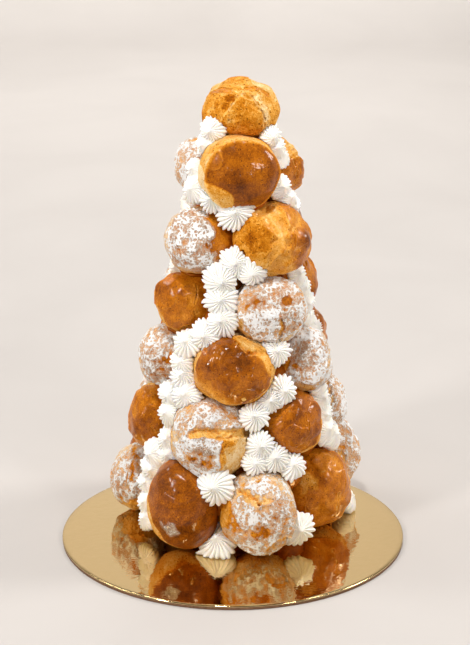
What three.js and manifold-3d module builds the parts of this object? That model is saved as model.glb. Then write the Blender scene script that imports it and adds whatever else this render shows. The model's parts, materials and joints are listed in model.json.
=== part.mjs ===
// A croquembouche: a cone of choux buns on a gold cake board, with piped stars
// of cream in the gaps between the buns.
// Millimetres, +Z up. The origin is the centre of the board's underside, and the
// front of the tower faces -Y.
import * as THREE from 'three';
import { mergeVertices } from 'three/addons/utils/BufferGeometryUtils.js';
import Module from 'manifold-3d';

const wasm = await Module();
wasm.setup();

// ---- Driving dimensions ----

const BOARD_ACROSS = 254;
const BOARD_THICK = 3;
const BOARD_BEVEL = 0.6;
const BOARD_SIDES = 40;

// The tower stands behind the middle of the board, which leaves a clear front.
const TOWER_X = 3;
const TOWER_Y = 30;

const GAP = 0.3; // air between pieces that touch
const REACH = 82; // buns whose middles are nearer than this may touch

const BUN_SIDES = 14; // facets round a bun
const BUN_RINGS = [27, 55, 68, 88, 112, 140]; // degrees down from the top of its dome
const LIP_RING = 55; // where the browned cap ends
const CRACK_RING = 68; // where the crust tore as the bun rose
const RELIEF_SPAN = 9; // degrees over which a lip or a crack fades
const CRACK_LEAST = 0.3; // depth of the crack, for each mm of lip, away from the torn side
const CRACK_MOST = 1.2; // and on the torn side
const LUMPS = 0.6; // how far the dents and bulges of the crust reach
const FINE_LUMPS = 0.42; // and the smaller ones among them
const DOME_SHARE = 0.54; // how much of a bun's depth is in front of its widest place

const STAR_POINTS = 7; // ridges left by the piping nozzle
const STAR_RISE = 0.38; // height of a star over its widest place, for each mm across
const STAR_ROOT = 0.5; // depth of its root between the buns, for each mm across
const STAR_CUT = 0.11; // how deep the grooves between the ridges are
const CREST_OUT = 0.3; // how far out the crest of a ridge is, for each mm across
const CREST_UP = 0.8; // and its share of the star's height
const STAR_TWIST = 14; // degrees that the ridges turn on the way up
const CREAM_LOOK = 12; // degrees that most stars point up
const CREAM_TURN = 28; // degrees that stars at the sides are turned towards the front

// The cone that the stars stand on narrows with height, a little faster near the top.
const CONE_FOOT = 78;
const CONE_SLOPE = 0.1;
const CONE_ROUND = 0.00022;

// Buns, from the top row down. at: degrees round the tower from the front, to the
// right. out: from the tower's axis. z: height of the middle. wide, tall, deep: size
// across, up and outwards. lip: how far the cap's edge stands out. torn: degrees round
// the cap where the crack is deepest.
const ROWS = [
  {
    look: 90, // degrees that the domes look up
    buns: [
      { at: 90, out: 3, z: 315, wide: 58, tall: 56, deep: 43, lip: 1.2, torn: 250, crust: 'golden' },
    ],
  },
  {
    look: 12,
    buns: [
      { at: 2, out: 26, z: 278, wide: 59, tall: 55, deep: 46, lip: 1.8, torn: 80, crust: 'brown' },
      { at: 120, out: 26, z: 270, wide: 52, tall: 45, deep: 44, lip: 2.2, torn: 200, crust: 'golden' },
      { at: -118, out: 23, z: 272, wide: 50, tall: 46, deep: 46, lip: 1.2, torn: 40, crust: 'sugared' },
    ],
  },
  {
    look: 12,
    buns: [
      { at: -48, out: 35, z: 226, wide: 54, tall: 48, deep: 47, lip: 1.0, torn: 110, crust: 'sugared' },
      { at: 43, out: 36, z: 228, wide: 60, tall: 55, deep: 48, lip: 2.4, torn: 20, crust: 'golden' },
      { at: 134, out: 33, z: 222, wide: 53, tall: 50, deep: 46, lip: 1.4, torn: 300, crust: 'brown' },
      { at: -145, out: 32, z: 220, wide: 46, tall: 49, deep: 46, lip: 1.8, torn: 140, crust: 'golden' },
    ],
  },
  {
    look: 10,
    buns: [
      { at: -62, out: 43, z: 180, wide: 41, tall: 46, deep: 39, lip: 1.2, torn: 10, crust: 'brown' },
      { at: 32, out: 42, z: 178, wide: 57, tall: 52, deep: 46, lip: 1.6, torn: 250, crust: 'sugared' },
      { at: 106, out: 37, z: 186, wide: 50, tall: 49, deep: 43, lip: 1.2, torn: 90, crust: 'brown' },
      { at: 170, out: 42, z: 180, wide: 48, tall: 50, deep: 45, lip: 2.0, torn: 330, crust: 'golden' },
      { at: -134, out: 40, z: 180, wide: 45, tall: 48, deep: 44, lip: 1.4, torn: 210, crust: 'sugared' },
    ],
  },
  {
    look: 10,
    buns: [
      { at: -2, out: 50, z: 138, wide: 62, tall: 53, deep: 47, lip: 1.4, torn: 60, crust: 'brown' },
      { at: 66, out: 53, z: 136, wide: 41, tall: 52, deep: 38, lip: 1.2, torn: 300, crust: 'sugared' },
      { at: 122, out: 50, z: 139, wide: 51, tall: 50, deep: 45, lip: 1.4, torn: 30, crust: 'brown' },
      { at: 178, out: 51, z: 136, wide: 52, tall: 51, deep: 46, lip: 1.8, torn: 100, crust: 'golden' },
      { at: -134, out: 48, z: 137, wide: 47, tall: 49, deep: 45, lip: 1.4, torn: 190, crust: 'brown' },
      { at: -75, out: 52, z: 136, wide: 45, tall: 48, deep: 40, lip: 1.0, torn: 280, crust: 'sugared' },
    ],
  },
  {
    look: 9,
    buns: [
      { at: -19, out: 58, z: 87, wide: 59, tall: 62, deep: 48, lip: 2.0, torn: 0, crust: 'sugared' },
      { at: 43, out: 54, z: 93, wide: 50, tall: 50, deep: 46, lip: 1.4, torn: 250, crust: 'brown' },
      { at: 106, out: 58, z: 89, wide: 50, tall: 52, deep: 48, lip: 1.6, torn: 180, crust: 'sugared' },
      { at: 151, out: 58, z: 88, wide: 49, tall: 51, deep: 46, lip: 1.6, torn: 60, crust: 'golden' },
      { at: -167, out: 59, z: 86, wide: 48, tall: 52, deep: 46, lip: 1.6, torn: 320, crust: 'brown' },
      { at: -125, out: 62, z: 84, wide: 48, tall: 52, deep: 46, lip: 1.4, torn: 130, crust: 'sugared' },
      { at: -83, out: 60, z: 86, wide: 48, tall: 53, deep: 38, lip: 1.2, torn: 220, crust: 'brown' },
    ],
  },
  {
    look: 6,
    buns: [
      { at: -32, out: 71, z: 39, wide: 54, tall: 75, deep: 50, lip: 1.2, torn: 240, crust: 'brown' },
      { at: 13, out: 69, z: 35, wide: 56, tall: 64, deep: 50, lip: 1.8, torn: 90, crust: 'sugared' },
      { at: 73, out: 60, z: 33, wide: 56, tall: 60, deep: 51, lip: 1.6, torn: 180, crust: 'brown' },
      { at: 120, out: 78, z: 36, wide: 53, tall: 66, deep: 50, lip: 1.6, torn: 270, crust: 'sugared' },
      { at: 158, out: 68, z: 33, wide: 50, tall: 60, deep: 48, lip: 1.6, torn: 20, crust: 'brown' },
      { at: -165, out: 69, z: 32, wide: 50, tall: 58, deep: 47, lip: 1.6, torn: 200, crust: 'golden' },
      { at: -128, out: 74, z: 33, wide: 48, tall: 60, deep: 49, lip: 1.4, torn: 60, crust: 'brown' },
      { at: -97, out: 75, z: 30, wide: 46, tall: 54, deep: 38, lip: 1.4, torn: 350, crust: 'sugared' },
    ],
  },
];

// Stars of cream, in runs of stars that touch. Each star is [degrees round the tower,
// height, mm across, mm that it stands further out]. look: degrees that they point up.
const CREAM = [
  // the front, from the top down
  { stars: [[-38, 306, 20], [-46, 296, 17]] },
  { stars: [[56, 301, 18], [64, 292, 17], [73, 284, 17]] },
  { stars: [[-60, 277, 17], [-54, 264, 21]] },
  { stars: [[-26, 261, 22], [-2, 251, 26]] },
  { stars: [[57, 265, 19], [67, 255, 19], [78, 247, 18], [90, 243, 18, -5]] },
  { stars: [[-2, 217, 23], [12, 211, 24], [-14, 205, 26], [-12, 190, 25], [-11, 175, 24],
    [-23, 164, 23], [-38, 156, 23], [-41, 142, 20], [-39, 132, 20]] },
  { stars: [[61, 202, 17], [66, 191, 17], [69, 179, 17], [71, 168, 16, -2]] },
  { stars: [[28, 152, 24]] },
  { stars: [[-34, 119, 22], [-48, 116, 22], [-47, 102, 21]] },
  { stars: [[31, 123, 23], [21, 117, 19], [11, 107, 23]] },
  { stars: [[68, 116, 18], [70, 106, 19], [69, 94, 21], [68, 82, 22], [82, 72, 23],
    [96, 63, 21]] },
  { stars: [[14, 85, 23], [10, 74, 20], [23, 75, 22], [34, 67, 23]] },
  { stars: [[-46, 83, 20], [-44, 73, 20], [-57, 68, 23], [-58, 57, 21], [-62, 44, 20]] },
  { look: 16, stars: [[-11, 59, 29, 7]] },
  { look: 16, stars: [[-59, 30, 19, 1], [-58, 18, 18, 1]] },
  { look: 35, stars: [[-12, 11, 31, -6]] },
  { stars: [[34, 20, 26, 2]] },
  { look: 24, stars: [[94, 13, 23, 6]] },
  // the sides and the back
  { stars: [[-70, 205, 18, -4], [-86, 201, 19, -7], [-104, 191, 20, -6], [-106, 178, 19, -6],
    [-108, 165, 20, -5]] },
  { stars: [[-104, 246, 20, -5], [-106, 233, 20, -5]] },
  { stars: [[181, 299, 21], [180, 286, 20], [181, 272, 20], [175, 258, 20], [184, 246, 22]] },
  { stars: [[139, 199, 21], [140, 185, 19], [141, 171, 19], [142, 158, 21],
    [154, 154, 20]] },
  { stars: [[-155, 200, 21], [-156, 186, 19], [-156, 172, 19], [-153, 160, 21]] },
  { stars: [[-100, 115, 21], [-104, 101, 19], [-104, 87, 18], [-105, 74, 19], [-107, 62, 20]] },
  { stars: [[108, 158, 20, -5], [106, 145, 19, -3], [100, 132, 18], [96, 118, 21]] },
];

const FINISHES = {
  brown: { color: 0xb4692a, roughness: 0.38 },
  golden: { color: 0xd79f55, roughness: 0.7 },
  sugared: { color: 0xe3cdb2, roughness: 0.9 },
  cream: { color: 0xfaf3e2, roughness: 0.5 },
};

// ---- Helpers ----

const radians = THREE.MathUtils.degToRad;
const degrees = THREE.MathUtils.radToDeg;

function outwards(at, look) {
  const turn = radians(at);
  const rise = radians(look);
  return new THREE.Vector3(
    Math.sin(turn) * Math.cos(rise),
    -Math.cos(turn) * Math.cos(rise),
    Math.sin(rise),
  );
}

function onTower(at, out, z) {
  const way = outwards(at, 0);
  return new THREE.Vector3(TOWER_X + out * way.x, TOWER_Y + out * way.y, z);
}

// A fade that is 1 at zero and falls to nothing a few spans away.
function bell(distance, span) {
  return Math.exp(-((distance / span) ** 2));
}

function surface(points, index) {
  const geometry = new THREE.BufferGeometry();
  const numbers = points.flatMap((point) => point.toArray());
  geometry.setAttribute('position', new THREE.Float32BufferAttribute(numbers, 3));
  geometry.setIndex(index);
  return geometry;
}

// A closed surface from its two ends and the rings of points between them. Every
// second ring is half a step further round, and the diagonals follow that.
function closedRings(top, rings, bottom) {
  const around = rings[0].length;
  const points = [top, ...rings.flat(), bottom];
  const index = [];
  for (let i = 0; i < around; i += 1) {
    const next = (i + 1) % around;
    index.push(0, 1 + i, 1 + next);
    for (let ring = 0; ring + 1 < rings.length; ring += 1) {
      const a = 1 + ring * around;
      const b = a + around;
      if (ring % 2 === 0) {
        index.push(a + i, b + i, a + next, a + next, b + i, b + next);
      } else {
        index.push(a + i, b + i, b + next, a + i, b + next, a + next);
      }
    }
    const last = 1 + (rings.length - 1) * around;
    index.push(last + i, points.length - 1, last + next);
  }
  return surface(points, index);
}

function toSolid(geometry) {
  const plain = geometry.clone();
  plain.deleteAttribute('normal');
  plain.deleteAttribute('uv');
  const merged = mergeVertices(plain);
  return new wasm.Manifold(new wasm.Mesh({
    numProp: 3,
    vertProperties: new Float32Array(merged.attributes.position.array),
    triVerts: new Uint32Array(merged.index.array),
  }));
}

function toGeometry(solid) {
  const mesh = solid.getMesh();
  const geometry = new THREE.BufferGeometry();
  geometry.setAttribute('position', new THREE.Float32BufferAttribute(mesh.vertProperties, 3));
  geometry.setIndex(Array.from(mesh.triVerts));
  return geometry;
}

// ---- Buns ----

// How far a bun's crust is from its middle, along its own axes: a is how much the way
// looks out through the dome, t to the right and u up.
function crustRadius(bun, a, t, u) {
  const depth = (a > 0 ? DOME_SHARE : 1 - DOME_SHARE) * bun.deep;
  const plain = 1 / Math.hypot(a / depth, t / (bun.wide / 2), u / (bun.tall / 2));
  const down = degrees(Math.acos(THREE.MathUtils.clamp(a, -1, 1)));
  const round = Math.atan2(u, t);
  const sideways = Math.sin(radians(down));
  const tornSide = 0.5 + 0.5 * Math.cos(round - radians(bun.torn));
  const tear = THREE.MathUtils.lerp(CRACK_LEAST, CRACK_MOST, tornSide);
  const lip = bun.lip * bell(down - LIP_RING, RELIEF_SPAN);
  const crack = bun.lip * tear * bell(down - CRACK_RING, RELIEF_SPAN);
  const lumps = LUMPS * Math.sin(3 * round + bun.seed) * sideways ** 2;
  const fineLumps = FINE_LUMPS * Math.sin(5 * round + 2 * bun.seed + radians(3 * down)) * sideways;
  return plain + lip - crack + lumps + fineLumps;
}

// The same, cut short where a neighbour or the board is in the way.
function clearRadius(bun, way) {
  const a = way.dot(bun.front);
  let radius = crustRadius(bun, a, way.dot(bun.right), way.dot(bun.up));
  for (const wall of bun.walls) {
    const towards = way.dot(wall.way);
    if (towards > 0) {
      radius = Math.min(radius, wall.distance / towards);
    }
  }
  return radius;
}

function layOutBuns() {
  const buns = [];
  ROWS.forEach((row, rowIndex) => {
    row.buns.forEach((size, place) => {
      const front = outwards(size.at, row.look);
      const right = outwards(size.at + 90, 0);
      const up = new THREE.Vector3().crossVectors(front, right);
      const name = `bun_${rowIndex + 1}_${place + 1}`;
      const seed = 1.7 * rowIndex + 2.4 * place;
      const middle = onTower(size.at, size.out, size.z);
      buns.push({ ...size, name, seed, middle, front, right, up, walls: [] });
    });
  });
  for (const bun of buns) {
    bun.walls = findWalls(bun, buns);
  }
  return buns;
}

// Flat walls half way to each neighbour, shared out by size, and one over the board.
function findWalls(bun, buns) {
  const down = new THREE.Vector3(0, 0, -1);
  const walls = [{ way: down, distance: bun.middle.z - BOARD_THICK - GAP }];
  for (const other of buns) {
    const between = other.middle.clone().sub(bun.middle);
    const distance = between.length();
    if (other !== bun && distance < REACH) {
      const way = between.normalize();
      const back = way.clone().negate();
      const mine = crustRadius(bun, way.dot(bun.front), way.dot(bun.right), way.dot(bun.up));
      const theirs = crustRadius(other, back.dot(other.front), back.dot(other.right), back.dot(other.up));
      walls.push({ way, distance: (distance * mine) / (mine + theirs) - GAP / 2 });
    }
  }
  return walls;
}

function bunGeometry(bun, grow) {
  const point = (down, round) => {
    const way = new THREE.Vector3()
      .addScaledVector(bun.front, Math.cos(down))
      .addScaledVector(bun.right, Math.sin(down) * Math.cos(round))
      .addScaledVector(bun.up, Math.sin(down) * Math.sin(round));
    return way.clone().multiplyScalar(clearRadius(bun, way) + grow).add(bun.middle);
  };
  const rings = BUN_RINGS.map((ring, ringIndex) => {
    const points = [];
    for (let i = 0; i < BUN_SIDES; i += 1) {
      points.push(point(radians(ring), ((i + 0.5 * (ringIndex % 2)) / BUN_SIDES) * 2 * Math.PI));
    }
    return points;
  });
  return closedRings(point(0, 0), rings, point(Math.PI, 0));
}

// ---- Cream ----

// Distance from the tower's axis to a star at height z.
function creamOut(z) {
  return CONE_FOOT - CONE_SLOPE * z - CONE_ROUND * z * z;
}

// A star has a tip, a crest on each ridge, a rim that goes in at each groove, and a
// root that tapers away between the buns.
function starGeometry([at, z, across, further = 0], look, grow) {
  const faces = at - CREAM_TURN * Math.sin(radians(at));
  const front = outwards(faces, look);
  const right = outwards(faces + 90, 0);
  const up = new THREE.Vector3().crossVectors(front, right);
  const middle = onTower(at, creamOut(z) + further, z);
  const point = (radius, round, height) => middle.clone()
    .addScaledVector(front, height)
    .addScaledVector(right, radius * Math.cos(round))
    .addScaledVector(up, radius * Math.sin(round));

  const rise = STAR_RISE * across;
  const points = [
    point(0, 0, rise + grow),
    point(0, 0, -STAR_ROOT * across - grow),
  ];
  const index = [];
  for (let i = 0; i < STAR_POINTS; i += 1) {
    const ridge = (i / STAR_POINTS) * 2 * Math.PI;
    const groove = ridge + Math.PI / STAR_POINTS;
    points.push(
      point(CREST_OUT * across + grow, ridge + radians(STAR_TWIST), CREST_UP * rise + grow),
      point(0.5 * across + grow, ridge, 0),
      point((0.5 - STAR_CUT) * across + grow, groove, 0),
    );
    const here = 2 + 3 * i;
    const next = 2 + 3 * ((i + 1) % STAR_POINTS);
    index.push(0, here, next); // tip
    index.push(here, here + 1, here + 2, here, here + 2, next, next, here + 2, next + 1);
    index.push(here + 1, 1, here + 2, here + 2, 1, next + 1); // root
  }
  return surface(points, index);
}

function creamRun(run, grow) {
  let whole = null;
  for (const place of run.stars) {
    const star = toSolid(starGeometry(place, run.look ?? CREAM_LOOK, grow));
    whole = whole ? whole.add(star) : star;
  }
  return whole;
}

// The largest piece of a solid that a cut may have parted.
function largest(solid) {
  return solid.decompose().sort((p, q) => q.volume() - p.volume())[0];
}

// ---- Board ----

function boardGeometry(grow) {
  const radius = BOARD_ACROSS / 2 + grow;
  const top = BOARD_THICK + grow;
  const outline = [
    [0, 0],
    [radius, 0],
    [radius, top - BOARD_BEVEL],
    [radius - BOARD_BEVEL, top],
    [0, top],
  ].map(([x, y]) => new THREE.Vector2(x, y));
  const geometry = new THREE.LatheGeometry(outline, BOARD_SIDES);
  return geometry.rotateX(Math.PI / 2);
}

// ---- Assembly ----

const croquembouche = new THREE.Group();
croquembouche.name = 'croquembouche';

function addPiece(name, geometry, material) {
  const mesh = new THREE.Mesh(geometry, material);
  mesh.name = name;
  croquembouche.add(mesh);
}

const gold = new THREE.MeshStandardMaterial({ color: 0xc8a04c, roughness: 0.18, metalness: 1 });
const looks = Object.fromEntries(Object.entries(FINISHES)
  .map(([name, finish]) => [name, new THREE.MeshStandardMaterial({ ...finish, metalness: 0 })]));

addPiece('cake_board', boardGeometry(0), gold);

const buns = layOutBuns();
let taken = toSolid(boardGeometry(GAP));
for (const bun of buns) {
  addPiece(bun.name, bunGeometry(bun, 0), looks[bun.crust]);
  taken = taken.add(toSolid(bunGeometry(bun, GAP)));
}

CREAM.forEach((run, index) => {
  const solid = largest(creamRun(run, 0).subtract(taken));
  addPiece(`cream_${index + 1}`, toGeometry(solid), looks.cream);
  taken = taken.add(creamRun(run, GAP));
});

export default croquembouche;
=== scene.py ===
# %% [markdown]
# # A croquembouche on a gold cake board
#
# A croquembouche is a cone of choux buns. These stand on a round card that is covered
# with gold foil, some are dusted with icing sugar, and stars of cream are piped into
# the gaps between them.
#
# The solid model of it is loaded first. It fixes the place and the size of everything,
# and each cell after that dresses one part of it: crust, sugar, cream, caramel and foil.

import itertools
import json
import math

import bmesh
import bpy
import numpy as np
from mathutils import Matrix, Vector
from mathutils.bvhtree import BVHTree


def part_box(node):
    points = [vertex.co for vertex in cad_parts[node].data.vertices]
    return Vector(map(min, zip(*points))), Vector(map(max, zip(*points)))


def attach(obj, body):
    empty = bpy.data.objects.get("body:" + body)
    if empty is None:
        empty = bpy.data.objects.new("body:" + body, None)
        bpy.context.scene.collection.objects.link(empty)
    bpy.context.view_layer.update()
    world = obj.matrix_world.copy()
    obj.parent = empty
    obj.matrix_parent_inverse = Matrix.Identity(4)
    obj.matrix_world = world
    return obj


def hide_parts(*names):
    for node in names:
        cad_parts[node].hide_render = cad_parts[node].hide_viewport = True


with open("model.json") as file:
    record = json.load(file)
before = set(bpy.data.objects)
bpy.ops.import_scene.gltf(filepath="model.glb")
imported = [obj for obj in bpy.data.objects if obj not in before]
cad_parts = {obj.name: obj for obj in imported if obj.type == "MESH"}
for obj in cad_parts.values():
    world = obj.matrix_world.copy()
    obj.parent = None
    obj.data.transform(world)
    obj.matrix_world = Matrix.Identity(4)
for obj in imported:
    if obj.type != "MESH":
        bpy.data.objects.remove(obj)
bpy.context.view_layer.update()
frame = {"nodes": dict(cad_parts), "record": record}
MM = 0.001

# %% [markdown]
# ## Where things are
#
# The buns stand in rows round an upright axis, a little behind the middle of the board.
# The places could be typed in again, but they would soon disagree with the solids. Each
# node's name holds its row and its place in the row, so the way that each bun faces
# comes from the nodes themselves.

# %% The tower's axis and the middles of the buns
ROW_LOOK = {1: 90, 2: 12, 3: 12, 4: 10, 5: 10, 6: 9, 7: 6}  # degrees that domes look up
AXIS = np.array([3.0, 30.0])  # millimetres, right of and behind the board's middle


def middle_of(node):
    low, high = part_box(node)
    return (np.array(low) + np.array(high)) / 2 / MM


def outwards(at, look):
    """The unit vector at degrees round the tower from the front, and look degrees up."""
    turn, rise = math.radians(at), math.radians(look)
    return np.array([math.sin(turn) * math.cos(rise), -math.cos(turn) * math.cos(rise), math.sin(rise)])


def degrees_round(point):
    across, back = np.array(point)[:2] - AXIS
    return math.degrees(math.atan2(across, -back))


bun_nodes = sorted(name for name in frame["nodes"] if name.startswith("bun_"))
board_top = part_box("cake_board")[1].z / MM
print(len(bun_nodes), "buns on a board", board_top, "mm thick")

# %% [markdown]
# ## Camera
#
# The camera stands level with the upper buns and looks down by about eighteen degrees.
# A short lens near the tower could frame it as well, but would swell the nearest buns.
# A long lens keeps the rows nearly parallel, as on a picture taken from across a table.

# %% Camera
CAMERA_PLACE = (1.68, -1367.47, 619.46)
CAMERA_DOWN = 18.32
CAMERA_LENS = 111.3
camera_data = bpy.data.cameras.new("camera")
camera_data.sensor_fit = "VERTICAL"
camera_data.sensor_height = 36
camera_data.lens = CAMERA_LENS
camera_data.clip_end = 20
camera = bpy.data.objects.new("camera", camera_data)
camera.location = Vector(CAMERA_PLACE) * MM
camera.rotation_euler = (math.radians(90 - CAMERA_DOWN), 0, 0)
bpy.context.scene.collection.objects.link(camera)
bpy.context.scene.camera = camera
print("camera", tuple(camera.location))

# %% [markdown]
# ## Meshes from arrays
#
# Blender can build a mesh from Python lists, but that is slow for a big one. Here each
# mesh is filled from arrays, and the triangles over rings of points come from one rule,
# which buns, stars, caramel and board all share.

# %% Helpers for meshes
def mesh_object(name, points, faces, materials=()):
    """A smooth object from points in millimetres and faces that all have as many corners."""
    faces = np.asarray(faces, np.int32)
    count, corners = faces.shape
    mesh = bpy.data.meshes.new(name)
    mesh.vertices.add(len(points))
    mesh.vertices.foreach_set("co", (np.asarray(points, np.float32) * MM).ravel())
    mesh.loops.add(count * corners)
    mesh.loops.foreach_set("vertex_index", faces.ravel())
    mesh.polygons.add(count)
    mesh.polygons.foreach_set("loop_start", np.arange(0, count * corners, corners, dtype=np.int32))
    mesh.polygons.foreach_set("use_smooth", np.ones(count, bool))
    mesh.update(calc_edges=True)
    thing = bpy.data.objects.new(name, mesh)
    bpy.context.scene.collection.objects.link(thing)
    for material in materials:
        mesh.materials.append(material)
    return thing


def places(mesh):
    """The vertices of a mesh as an array, in millimetres."""
    flat = np.zeros(len(mesh.vertices) * 3, np.float32)
    mesh.vertices.foreach_get("co", flat)
    return flat.reshape(-1, 3).astype(float) / MM


def give(mesh, name, numbers):
    """Stores a number or a vector for each point of a mesh."""
    kind, key = ("FLOAT_VECTOR", "vector") if np.ndim(numbers) > 1 else ("FLOAT", "value")
    flat = np.asarray(numbers, np.float32).ravel()
    mesh.attributes.new(name, kind, "POINT").data.foreach_set(key, flat)


def circle(steps):
    """The angles of evenly spaced steps round a circle."""
    return np.arange(steps) / steps * 2 * math.pi


def ring_faces(rings, around):
    """Triangles over rings of points that run up from a first point to a last one."""
    here = np.arange(around)
    after = (here + 1) % around
    last = 1 + rings * around
    faces = [np.stack([np.zeros(around, int), 1 + after, 1 + here], 1)]
    for i in range(rings - 1):
        a, b = 1 + i * around, 1 + (i + 1) * around
        faces.append(np.stack([a + here, a + after, b + after], 1))
        faces.append(np.stack([a + here, b + after, b + here], 1))
    faces.append(np.stack([last - around + here, last - around + after, np.full(around, last)], 1))
    return np.concatenate(faces)


print("one ring of six has", len(ring_faces(1, 6)), "triangles")

# %% [markdown]
# ## Materials as sums
#
# A material is a net of shader nodes. It could be wired by hand in the editor, which is
# slow to repeat for many finishes. With these classes each call adds a node and gives
# back its output, so a material reads like a sum. Patterns read Object coordinates, so
# they keep their true size and sit still on a piece. The room's light and the tree that
# sets the cream are nets of nodes too, and use the first class.

# %% Helpers for materials
class Nodes:
    """A short way to write a tree of nodes: each call adds a node and gives back what it puts out."""

    def __init__(self, tree):
        self.tree = tree

    def put(self, socket, value):
        if isinstance(value, bpy.types.NodeSocket):
            self.tree.links.new(value, socket)
        elif isinstance(value, tuple) and len(value) == 3 and socket.type == "RGBA":
            socket.default_value = (*value, 1)
        else:
            socket.default_value = value

    def node(self, kind, inputs=None, **settings):
        """The outputs of a new node, whose inputs are set to values or linked to other outputs."""
        node = self.tree.nodes.new(kind)
        for key, value in settings.items():
            setattr(node, key, value)
        for key, value in (inputs or {}).items():
            self.put(node.inputs[key], value)
        return node.outputs

    def step(self, value, low, high, start=0.0, end=1.0):
        """Start below low, end above high, and smooth between them."""
        limits = {"Value": value, "From Min": low, "From Max": high, "To Min": start, "To Max": end}
        return self.node("ShaderNodeMapRange", limits, interpolation_type="SMOOTHSTEP")[0]

    def part(self, vector, index):
        """One number of a vector or a colour."""
        return self.node("ShaderNodeSeparateXYZ", {0: vector})[index]


class Shader(Nodes):
    """The nodes of one material."""

    def __init__(self, name):
        self.material = bpy.data.materials.new(name)
        self.material.use_nodes = True
        super().__init__(self.material.node_tree)
        self.surface = self.tree.nodes["Principled BSDF"]
        self.place = self.node("ShaderNodeTexCoord")["Object"]

    def set(self, **values):
        for key, value in values.items():
            self.put(self.surface.inputs[key.replace("_", " ")], value)

    def attribute(self, name):
        return self.node("ShaderNodeAttribute", attribute_name=name)["Fac"]

    def noise(self, span, detail=2.0, rough=0.5, wander=0.0, out="Fac"):
        """A noise whose blotches are about span millimetres wide, from 0 to 1."""
        return self.node("ShaderNodeTexNoise", {
            "Vector": self.place, "Scale": 1 / (span * MM), "Detail": detail, "Roughness": rough,
            "Distortion": wander})[out]

    def cells(self, span, vector=None, **settings):
        """The outputs of a pattern of cells about span millimetres wide."""
        vector = self.place if vector is None else vector
        return self.node("ShaderNodeTexVoronoi", {"Vector": vector, "Scale": 1 / (span * MM)}, **settings)

    def math(self, operation, a, b=0.0, c=0.0, clamp=False):
        return self.node("ShaderNodeMath", {0: a, 1: b, 2: c}, operation=operation, use_clamp=clamp)[0]

    def times(self, a, b, clamp=False):
        return self.math("MULTIPLY", a, b, clamp=clamp)

    def sum(self, value, *terms):
        """The value and, for each (amount, other) term, amount times the other."""
        for amount, other in terms:
            value = self.math("MULTIPLY_ADD", other, amount, value)
        return value

    def shift(self, value, *terms):
        """Moves a value up and down with each (noise, amount), by half of amount at most."""
        return self.sum(value, *((amount, self.math("SUBTRACT", noise, 0.5)) for noise, amount in terms))

    def mix(self, share, a, b):
        return self.node("ShaderNodeMix", {0: share, 6: a, 7: b}, data_type="RGBA")[2]

    def blend(self, share, a, b):
        return self.node("ShaderNodeMix", {0: share, 2: a, 3: b}, data_type="FLOAT")[0]

    def ramp(self, value, stops):
        """A colour from a list of (place, colour)."""
        colour = self.node("ShaderNodeValToRGB", {0: value})[0]
        elements = colour.node.color_ramp.elements
        while len(elements) < len(stops):
            elements.new(0.5)
        for element, (at, paint_there) in zip(elements, stops):
            element.position = at
            element.color = (*paint_there, 1)
        return colour

    def bump(self, height, deep, *sockets):
        """Fine relief, deep millimetres from 0 to 1."""
        relief = self.node("ShaderNodeBump", {"Height": height, "Distance": deep * MM})[0]
        for socket in sockets or ("Normal", "Coat Normal"):
            self.put(self.surface.inputs[socket], relief)


def paint(red, green, blue):
    """A colour as a painter mixes it, 0 to 255, made linear for the shader."""
    return tuple(((c / 255 + 0.055) / 1.055) ** 2.4 if c > 10 else c / 3294.6 for c in (red, green, blue))


def shades(dark, light):
    """The stops of a ramp between two close colours, for a surface that is nearly even."""
    return [(0.3, dark), (0.7, light)]


print("middle grey is", round(paint(128, 128, 128)[0], 3))

# %% [markdown]
# ## Floor and light
#
# The table and the wall are one pale sheet that curves up far behind the board, so
# nothing but the tower draws the eye. Its upper part is darker, because that is what
# the foil mirrors. A textured table would only distract.
#
# Four soft lamps stand round the tower and one hangs above it, all small enough to leave
# clear glints on glaze and large enough for soft shadows. Those behind make the cream
# glow along its edges. A sixth lights the wall. The rest of the light comes from the
# room, a world that is brighter to the sides than behind the camera or overhead.

# %% Floor and wall
FLOOR_FRONT = -3200
WALL_BEHIND = 2000
WALL_TOP = 2600
CURVE_RADIUS = 500
CURVE_STEPS = 16
STAGE_WIDE = 3400  # to either side
CLOUD_SPAN = 260  # millimetres, for the faint clouds in the sheet's colour
TABLE = shades(paint(193, 187, 182), paint(199, 193, 188))
WALL_LOW = shades(paint(202, 196, 190), paint(208, 202, 196))
WALL_HIGH = shades(paint(176, 170, 164), paint(182, 176, 170))
TABLE_ENDS = (0.0, 0.1)  # metres up the curve between which the table turns into wall
WALL_DARKENS = (0.25, 0.5)


def stage_sheet():
    profile = [(FLOOR_FRONT, 0), (WALL_BEHIND, 0)]
    for step in range(1, CURVE_STEPS + 1):
        turn = math.radians(90 * step / CURVE_STEPS)
        profile.append((WALL_BEHIND + CURVE_RADIUS * math.sin(turn), CURVE_RADIUS * (1 - math.cos(turn))))
    profile.append((WALL_BEHIND + CURVE_RADIUS, WALL_TOP))
    points = [(side * STAGE_WIDE, y, z) for y, z in profile for side in (-1, 1)]
    faces = [(2 * i, 2 * i + 1, 2 * i + 3, 2 * i + 2) for i in range(len(profile) - 1)]
    return mesh_object("backdrop", points, faces, [backdrop_material()])


def backdrop_material():
    shader = Shader("pale_table")
    clouds = shader.noise(CLOUD_SPAN, detail=4, wander=0.6)
    table, low, high = [shader.ramp(clouds, stops) for stops in (TABLE, WALL_LOW, WALL_HIGH)]
    height = shader.part(shader.place, 2)
    wall = shader.mix(shader.step(height, *WALL_DARKENS), low, high)
    shader.set(Base_Color=shader.mix(shader.step(height, *TABLE_ENDS), table, wall), Roughness=0.55)
    return shader.material


backdrop = stage_sheet()
print("backdrop with", len(backdrop.data.polygons), "faces")

# %% Lamps
DAYLIGHT = (1.0, 0.99, 0.975)
TOWER_MIDDLE = (0, 0, 150)


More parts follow.
